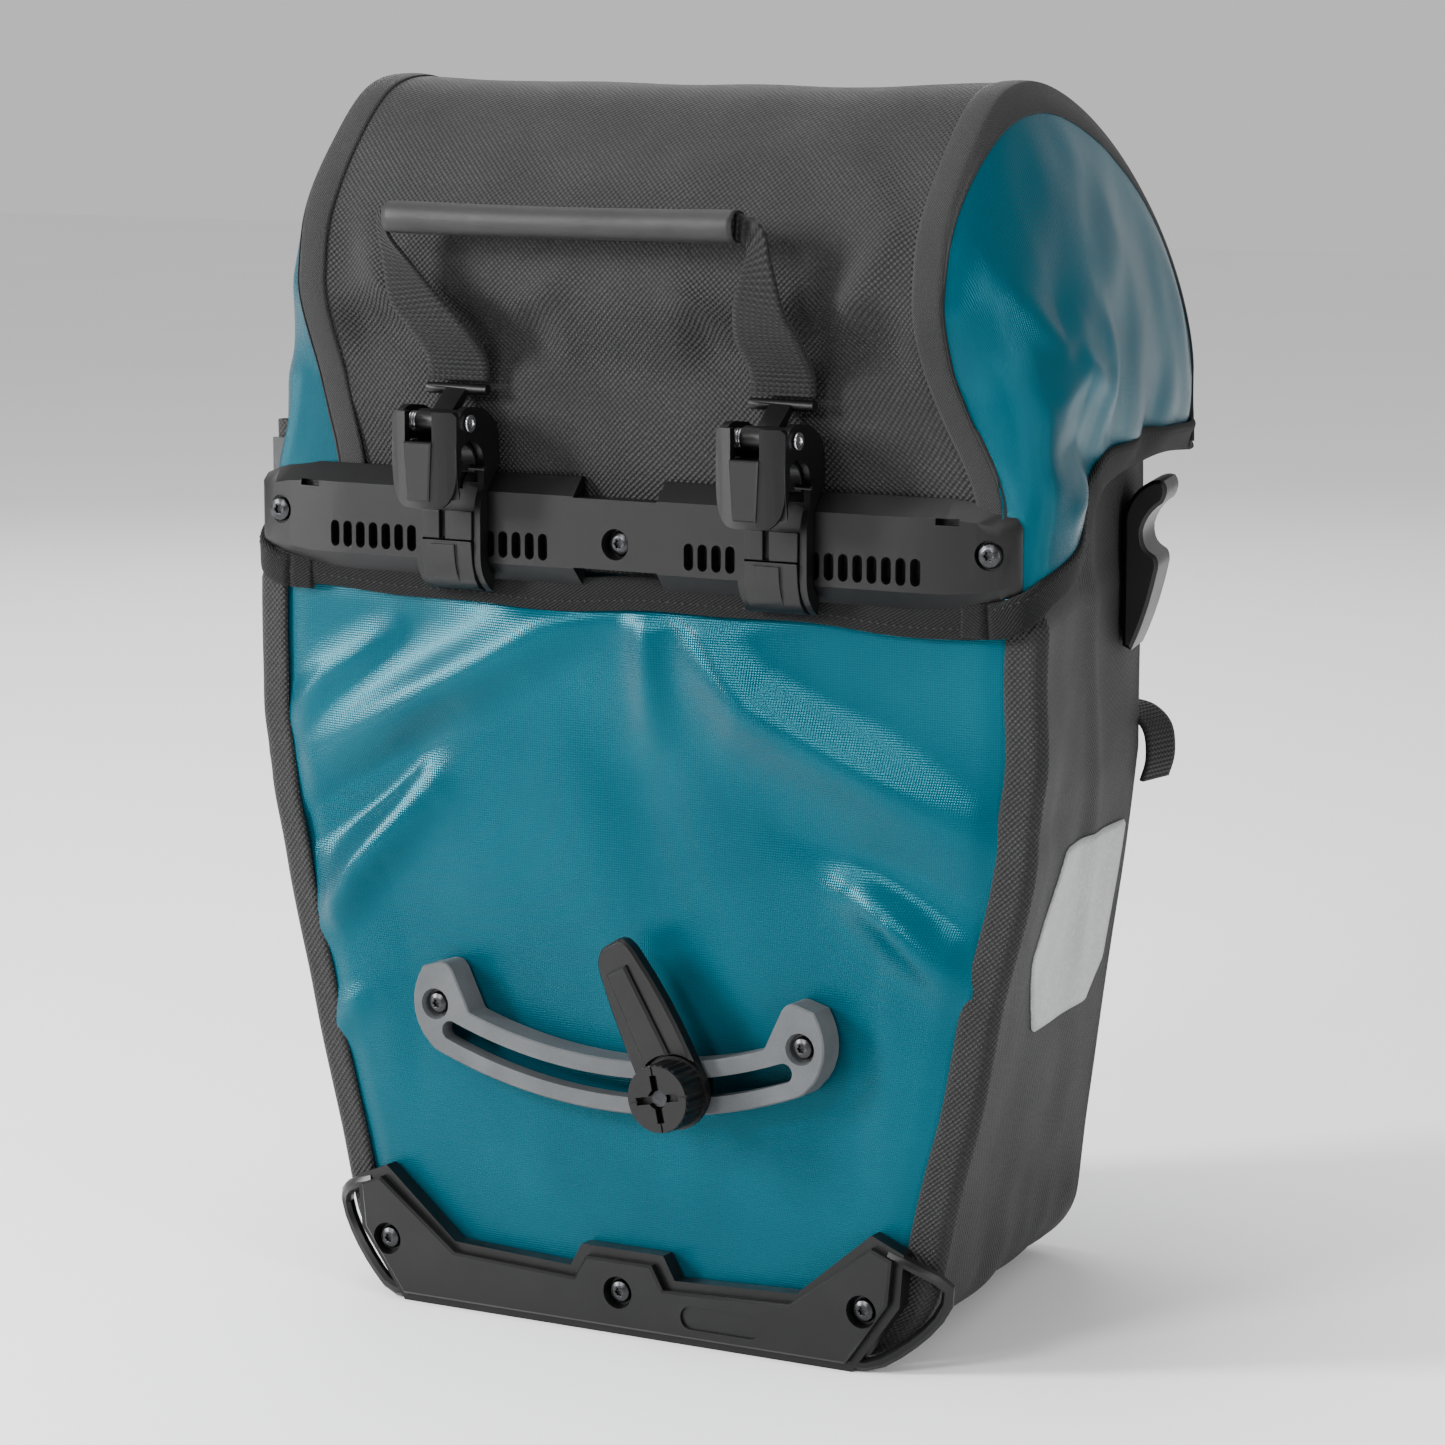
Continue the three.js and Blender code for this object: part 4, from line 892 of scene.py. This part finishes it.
def make_lid_strip():
    columns = 110
    rows = [[strip_point(mix(-1, 1, i / columns), y, z) for i in range(columns + 1)]
            for y, z in lid_profile()]
    skin = grid("lid_strip_skin", rows, material=WOVEN, slot="woven_cloth", thick=CLOTH)
    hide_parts("lid_cover", "lid_back_flap")
    lid_blend(skin)


def band_row(place, side):
    """The doubled edge across the woven strip, then turned down over the cheek at the crest."""
    flat_steps, turned_steps = 8, 5
    half, y, z = cheek_seam(place, side)
    out = lid_outward(y, z)
    row = []
    for i in range(flat_steps + 1):
        t = i / flat_steps
        share = (half - BAND_WIDE * (1 - t) + 0.6 * MM) / half
        on_strip = Vector(strip_point(side * min(share, 1.004), y, z))
        row.append(on_strip + out * (BAND_PROUD * math.sin(math.pi * mix(0.06, 0.94, t)) ** 0.4))
    turned_down = 0.068 * bump(place - 0.6, 0.26)
    for i in range(1, turned_steps + 1):
        on_cheek = cheek_point(place, turned_down * i / turned_steps + 0.002, side)
        on_cheek.x += side * BAND_PROUD * smooth(i / 2) * smooth((6 - i) / 3)
        row.append(on_cheek)
    return row if side > 0 else list(reversed(row))


def make_seam_bands():
    """The doubled edge of the woven strip, a paler band beside each cheek."""
    steps = 132
    for side, word in SIDES:
        rows = [band_row(mix(0.01, 1, k / steps), side) for k in range(steps + 1)]
        band = grid(f"seam_band_{word}", rows, material=SEAM, slot="woven_cloth", thick=0.7 * MM)
        lid_blend(band)


def cheek_edge(t):
    """The cheek's lower edge on the right side, t from 0 at the rail to 1 at the front."""
    place = t * (len(CHEEK_EDGE) - 1)
    i = min(int(place), len(CHEEK_EDGE) - 2)
    forward, height, out = between(CHEEK_EDGE, i, place - i)
    return Vector((out * MM, Y_FOLD + forward * MM, height * MM))


def cheek_seam(t, side):
    """The cheek's upper edge, along the strip: from behind the rail's end to the front corner."""
    if t < REAR_SHARE:
        up = t / REAR_SHARE
        z = mix(262 * MM, LID_SPRING, up)
        y = mix(FLAP[0].y, LID[0].y, smooth(up))
        return Vector((strip_half(y, z, side), y, z))
    over = (t - REAR_SHARE) / (1 - REAR_SHARE)
    if over < ARCH_SHARE:
        y, z = arch_point(over / ARCH_SHARE)
    else:
        y, z = LID[1].y, mix(LID_SPRING, LID_EDGE - 4 * MM, (over - ARCH_SHARE) / (1 - ARCH_SHARE))
    return Vector((strip_half(y, z, side), y, z))


def cheek_crumple(y, z, side):
    """Creases of the coated cheek, in metres outwards; deepest low down beside the rail."""
    forward = y - Y_FOLD
    total = fold_heights(CHEEK_FOLDS, forward, z)
    total += 3.2 * rough(side + y * 1.1, y, z, 22) * (1 - rise(z, 330 * MM, 70 * MM))
    total += 1.4 * rough(y * 1.4, side * 4, z, 40)
    taut = 0.6 * rise(forward, 60 * MM, 50 * MM) * rise(z, 300 * MM, 30 * MM)
    return total * MM * (1 - taut)


def cheek_point(t, b, side):
    """A place on a cheek: t runs from the rail to the front, b from the seam to the lower edge."""
    top, low = cheek_seam(t, side), cheek_edge(t)
    y, z = mix(top.y, low.y, b), mix(top.z, low.z, b)
    flare = math.sin(b * math.pi / 2) ** 0.75 if side > 0 else b ** 0.8
    x = mix(top.x, low.x, flare)
    y -= rear_bulge(x, top.y, z) * (1 - b) * (1 - rise(t, 0.5, 0.2))
    swell = 4.5 * MM if side > 0 else 0.5 * MM
    x += swell * math.sin(math.pi * b) * smooth(t / 0.3) * smooth((1 - t) / 0.3)
    held = smooth(b / 0.18) * smooth((1 - b) / 0.12) * smooth(t / 0.08) * smooth((1 - t) / 0.08)
    x += cheek_crumple(y, z, side) * held
    return Vector((side * x, y, z))


def cheek_blend(piece):
    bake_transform(piece)


def make_cheeks():
    across, down = 130, 70
    for side, word in SIDES:
        rows = []
        for j in range(down + 1):
            row = [tuple(cheek_point(i / across, j / down, side)) for i in range(across + 1)]
            rows.append(row if side < 0 else list(reversed(row)))
        skin = grid(f"lid_cheek_skin_{word}", rows, material=TEAL, slot="coated_cloth", thick=CLOTH)
        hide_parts(f"lid_side_{word}")
        cheek_blend(skin)


def binding_place(t, side):
    """Middle of the binding over a cheek's lower edge, with its down and outward directions."""
    reach = 0.01
    low = cheek_point(t, 1.0, side)
    down = (low - cheek_point(t, 0.9, side)).normalized()
    ahead = cheek_point(min(1, t + reach), 1, side) - cheek_point(max(0, t - reach), 1, side)
    ahead.normalize()
    down = (down - ahead * down.dot(ahead)).normalized()
    out = ahead.cross(down).normalized() * (-side)
    if out.x * side < 0:
        out = -out
    return low - down * (TAPE_WIDE * 0.36), down, out


def make_side_bindings():
    steps = 90
    for side, word in SIDES:
        line, downs, outs = zip(*(binding_place(i / steps, side) for i in range(steps + 1)))
        tape = tape_along(f"lid_binding_skin_{word}", line, downs, outs, TAPE_WIDE, TAPE_THICK,
                          material=TAPE, slot="tape")
        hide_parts(f"lid_binding_{word}")
        cheek_blend(tape)
        row = [p + o * (TAPE_THICK * 0.5) - d * (TAPE_WIDE * 0.34) for p, d, o in zip(line, downs, outs)]
        sewn = stitches(f"lid_stitching_{word}", row, outs, STITCH_PITCH, material=SEAM, slot="tape")
        cheek_blend(sewn)


def make_front_binding():
    steps = 40
    sag, bow, lift = 2.0 * MM, 3.5 * MM, 4 * MM
    corner = cheek_point(1.0, 1.0, 1)
    line = []
    for i in range(steps + 1):
        x = mix(corner.x, -corner.x, i / steps)
        drop = sag * math.cos(x / corner.x * math.pi / 2)
        y = corner.y - bow * (1 - (x / corner.x) ** 8)
        line.append(Vector((x, y, corner.z + lift - drop)))
    downs = [Vector((0, 0, -1))] * len(line)
    outs = [Vector((0, 1, 0))] * len(line)
    front = tape_along("lid_binding_skin_front", line, downs, outs, TAPE_WIDE, TAPE_THICK,
                       material=TAPE, slot="tape")
    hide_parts("lid_binding_front")
    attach(front, "lid")


def make_flap_tape():
    """Binding of the flap, showing under the rail and curling up at the rail's ends."""
    steps = 100
    middle_z = 251.2 * MM
    end_x = cheek_edge(0.12).x
    line = []
    for i in range(steps + 1):
        x = mix(-end_x, end_x, i / steps)
        wave = 1.1 * MM * math.sin(x * 38) + 0.5 * MM * math.sin(x * 97 + 1)
        lift = 3.5 * MM * rise(abs(x), 128 * MM, 22 * MM)
        y = FLAP[0].y - 0.6 * MM + 3.4 * MM * rise(abs(x), 138 * MM, 12 * MM)
        line.append(Vector((x, y, middle_z + wave + lift)))
    downs = [Vector((0, 0, -1))] * len(line)
    outs = [Vector((0, -1, 0))] * len(line)
    tape = tape_along("flap_binding_skin", line, downs, outs, TAPE_WIDE, 2.8 * MM,
                      material=TAPE, slot="tape")
    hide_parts("flap_binding")
    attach(tape, "root")
    row = [p + Vector((0, -1.45 * MM, -2.2 * MM)) for p in line]
    sewn = stitches("flap_stitching", row, outs, STITCH_PITCH, material=SEAM, slot="tape")
    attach(sewn, "root")


# ---- Straps, grip and small soft pieces ----
WEB_THICK = 1.6 * MM
GRIP_MIDDLE = (GRIP[0] + GRIP[1]) / 2
GRIP_RADIUS = (GRIP[1].z - GRIP[0].z) / 2

# Runs of the front webbing: mm off the face, height in mm.
LOW_RUN = ((0.6, 118), (2.2, 135), (1.6, 165), (1.2, 200), (0.6, 228))
HIGH_RUN = ((-0.6, 256), (0.6, 262), (2.0, 285), (2.2, 300), (0.4, 320))

# The reflective patch as shares of its box, from its point round to its lower edge.
PATCH_CORNERS = ((0.00, 0.48), (0.14, 0.06), (0.80, 0.00), (0.96, 0.18), (1.0, 0.93), (0.22, 1.0))


def grip_ring(share, radius, flat=1.0, sag=0.0):
    """A ring round the sleeve at a share of its length."""
    count = 28
    x = mix(GRIP[0].x, GRIP[1].x, share)
    y, z = GRIP_MIDDLE.y, GRIP_MIDDLE.z + sag
    angles = (2 * math.pi * k / count for k in range(count))
    return [Vector((x, y + radius * math.cos(a), z + radius * flat * math.sin(a))) for a in angles]


def make_grip():
    """The sleeve, a little flattened and sagging, with its ends turned into the tube."""
    steps = 60
    mouth = 0.7 * GRIP_RADIUS
    rings = [grip_ring(0.03, mouth)]
    for i in range(steps + 1):
        t = i / steps
        swell = math.sin(math.pi * t)
        radius = GRIP_RADIUS * (1 - 0.05 * bump(t, 0.02) - 0.05 * bump(1 - t, 0.02))
        rings.append(grip_ring(t, radius, 1 - 0.05 * swell, -0.5 * MM * swell))
    rings += [grip_ring(share, mouth) for share in (0.985, 0.97)]
    sleeve = closed_loft("grip_sleeve", rings, material=GRIP_LOOK, slot="grip_rubber")
    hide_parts("handle_grip")
    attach(sleeve, "handle")


def make_handle_webbing():
    """Straps that leave the sleeve on edge, twist flat, and end on the hooks' cross bars."""
    middle = GRIP_MIDDLE
    ends = (("left", -1, GRIP[0].x, -1.5 * MM), ("right", 1, GRIP[1].x, 6.5 * MM))
    for word, out, tube_end, lean in ends:
        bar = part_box(f"strap_end_{word}")
        x_bar = (bar[0].x + bar[1].x) / 2
        front = bar[0].y + 0.2 * MM
        top_x = tube_end + lean
        centres = [
            Vector((tube_end - 9 * MM * out, middle.y, middle.z)),
            Vector((tube_end + 0.3 * lean, middle.y, middle.z - 0.5 * MM)),
            Vector((top_x, middle.y - 0.3 * MM, middle.z - 4.5 * MM)),
            Vector((mix(top_x, x_bar, 0.22), middle.y + 0.2 * MM, middle.z - 13 * MM)),
            Vector((mix(top_x, x_bar, 0.56), middle.y + 1.4 * MM, middle.z - 26 * MM)),
            Vector((mix(top_x, x_bar, 0.88), front - 12 * MM, bar[1].z + 7 * MM)),
            Vector((x_bar, front - 4.0 * MM, bar[1].z - 2 * MM)),
            Vector((x_bar, front - 1.2 * MM, bar[0].z + 5 * MM)),
            Vector((x_bar, front - 1.6 * MM, bar[0].z + 0.6 * MM)),
        ]
        wide = Vector((WEB_HALF, 0, 0))
        tilt = Vector((WEB_HALF * 0.78, 0, -0.1 * WEB_HALF * out))
        sides = [
            Vector((0, 0, 3.9 * MM * out)), Vector((0.6 * MM, 0, 4.2 * MM * out)),
            Vector((3.6 * MM, -1.2 * MM, 3.4 * MM * out)), Vector((5.8 * MM, -0.8 * MM, 1.2 * MM * out)),
            tilt, wide, wide, wide, wide,
        ]
        strap = ribbon(f"handle_webbing_{word}", centres, sides, 1.7 * MM, material=WEBBING, slot="tape")
        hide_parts(f"handle_strap_{word}", f"strap_end_{word}")
        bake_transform(strap)


def front_webbing(name, x, face_y, run):
    centres = [Vector((x, face_y + off * MM, z * MM)) for off, z in run]
    sides = [Vector((WEB_HALF, 0, 0))] * len(run)
    return ribbon(name, centres, sides, WEB_THICK, material=WEBBING, slot="tape")


def make_front_straps():
    for word in ("left", "right"):
        low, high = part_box(f"front_strap_{word}"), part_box(f"lid_strap_{word}")
        x = (low[0].x + low[1].x) / 2
        strap = front_webbing(f"front_webbing_{word}", x, low[1].y - 0.4 * MM, LOW_RUN)
        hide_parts(f"front_strap_{word}")
        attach(strap, "root")
        strap = front_webbing(f"lid_webbing_{word}", x, high[1].y, HIGH_RUN)
        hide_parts(f"lid_strap_{word}")
        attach(strap, "lid")


def make_reflectors():
    side_points = 12
    for side, word in SIDES:
        low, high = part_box(f"reflector_{word}")
        outline = []
        for i, (a, b) in enumerate(PATCH_CORNERS):
            c, d = PATCH_CORNERS[(i + 1) % len(PATCH_CORNERS)]
            for k in range(side_points):
                t = mix(0.04, 0.96, k / (side_points - 1))
                outline.append((mix(low.y, high.y, mix(a, c, t)), mix(low.z, high.z, mix(b, d, t))))
        if side < 0:
            outline.reverse()
        centre = ((low.y + high.y) / 2, (low.z + high.z) / 2)

        def place(y, z, side=side):
            return (side * (side_x(y, z, side) + 0.55 * MM), y, z)

        patch = disc(f"reflector_skin_{word}", outline, centre, 10, place, material=REFLECTIVE,
                     slot="reflective", thick=0.5 * MM)
        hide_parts(f"reflector_{word}")
        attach(patch, "root")


def make_strap_tail():
    """End of a webbing loop that sticks out past the front edge on the right."""
    edge = half_front(190 * MM)
    run = ((-12, 0.6, 200), (-2, 2, 198), (5, 1.5, 192), (6.5, 1, 182), (4.5, 0.5, 174))
    centres = [Vector((edge + out * MM, Y_FRONT + off * MM, z * MM)) for out, off, z in run]
    sides = [Vector((1 * MM, 9 * MM, 0))] * len(run)
    tail = ribbon("strap_tail", centres, sides, WEB_THICK, material=WEBBING, slot="tape")
    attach(tail, "root")


# ---- Camera, light and floor ----
CAMERA_PLACE = (0.81524, -1.43733, 0.45256)
CAMERA_TILT = 81.192            # degrees from straight down
CAMERA_TURN = 30                # degrees towards the bag's right side
LENS = 119.86
SENSOR = 36
FLOOR_REACH = 6.0
SKY = 0.66
LIGHTS_AIM = (0, 0, 0.21)

# Softboxes: name, place, width and height, power.
LIGHTS = (
    ("key", (-1.5, -1.25, 0.85), (0.35, 0.8), 80),
    ("front", (-0.4, -1.8, 1.15), (0.5, 0.35), 27),
    ("side", (1.85, -0.8, 0.5), (0.25, 0.9), 26),
    ("top", (-0.2, -0.1, 1.9), (1.3, 0.8), 24),
    ("back", (-1.2, 1.6, 1.2), (1.0, 1.0), 12),
)


def make_camera():
    camera = bpy.data.objects.new("camera", bpy.data.cameras.new("camera"))
    bpy.context.scene.collection.objects.link(camera)
    camera.location = CAMERA_PLACE
    camera.rotation_euler = (math.radians(CAMERA_TILT), 0, math.radians(CAMERA_TURN))
    camera.data.sensor_width = SENSOR
    camera.data.lens = LENS
    bpy.context.scene.camera = camera


def area_light(name, place, size, power):
    data = bpy.data.lights.new(name, "AREA")
    data.shape = "RECTANGLE"
    data.size, data.size_y = size
    data.energy = power
    lamp = bpy.data.objects.new(name, data)
    bpy.context.scene.collection.objects.link(lamp)
    lamp.location = place
    lamp.rotation_euler = (Vector(LIGHTS_AIM) - Vector(place)).to_track_quat("-Z", "Y").to_euler()


def make_floor():
    look = Look("floor", 0.75)
    look.colours(look.noise(look.solid_space, 3, 2), (0.3, (0.93, 0.93, 0.93)), (0.7, (0.95, 0.95, 0.95)))
    corners = [(x * FLOOR_REACH, y * FLOOR_REACH, 0) for x, y in ((-1, -1), (1, -1), (1, 1), (-1, 1))]
    mesh_object("floor", corners, [(0, 1, 2, 3)], material=look.mat)


def make_world():
    world = bpy.data.worlds.new("studio")
    bpy.context.scene.world = world
    world.use_nodes = True
    background = world.node_tree.nodes["Background"]
    background.inputs["Color"].default_value = (1, 1, 1, 1)
    background.inputs["Strength"].default_value = SKY


make_camera()
dress_hard_parts()
make_back()
make_front()
make_gussets()
make_base()
make_lid_strip()
make_seam_bands()
make_cheeks()
make_side_bindings()
make_front_binding()
make_flap_tape()
make_grip()
make_handle_webbing()
make_front_straps()
make_reflectors()
make_strap_tail()
make_floor()
make_world()
for light in LIGHTS:
    area_light(*light)
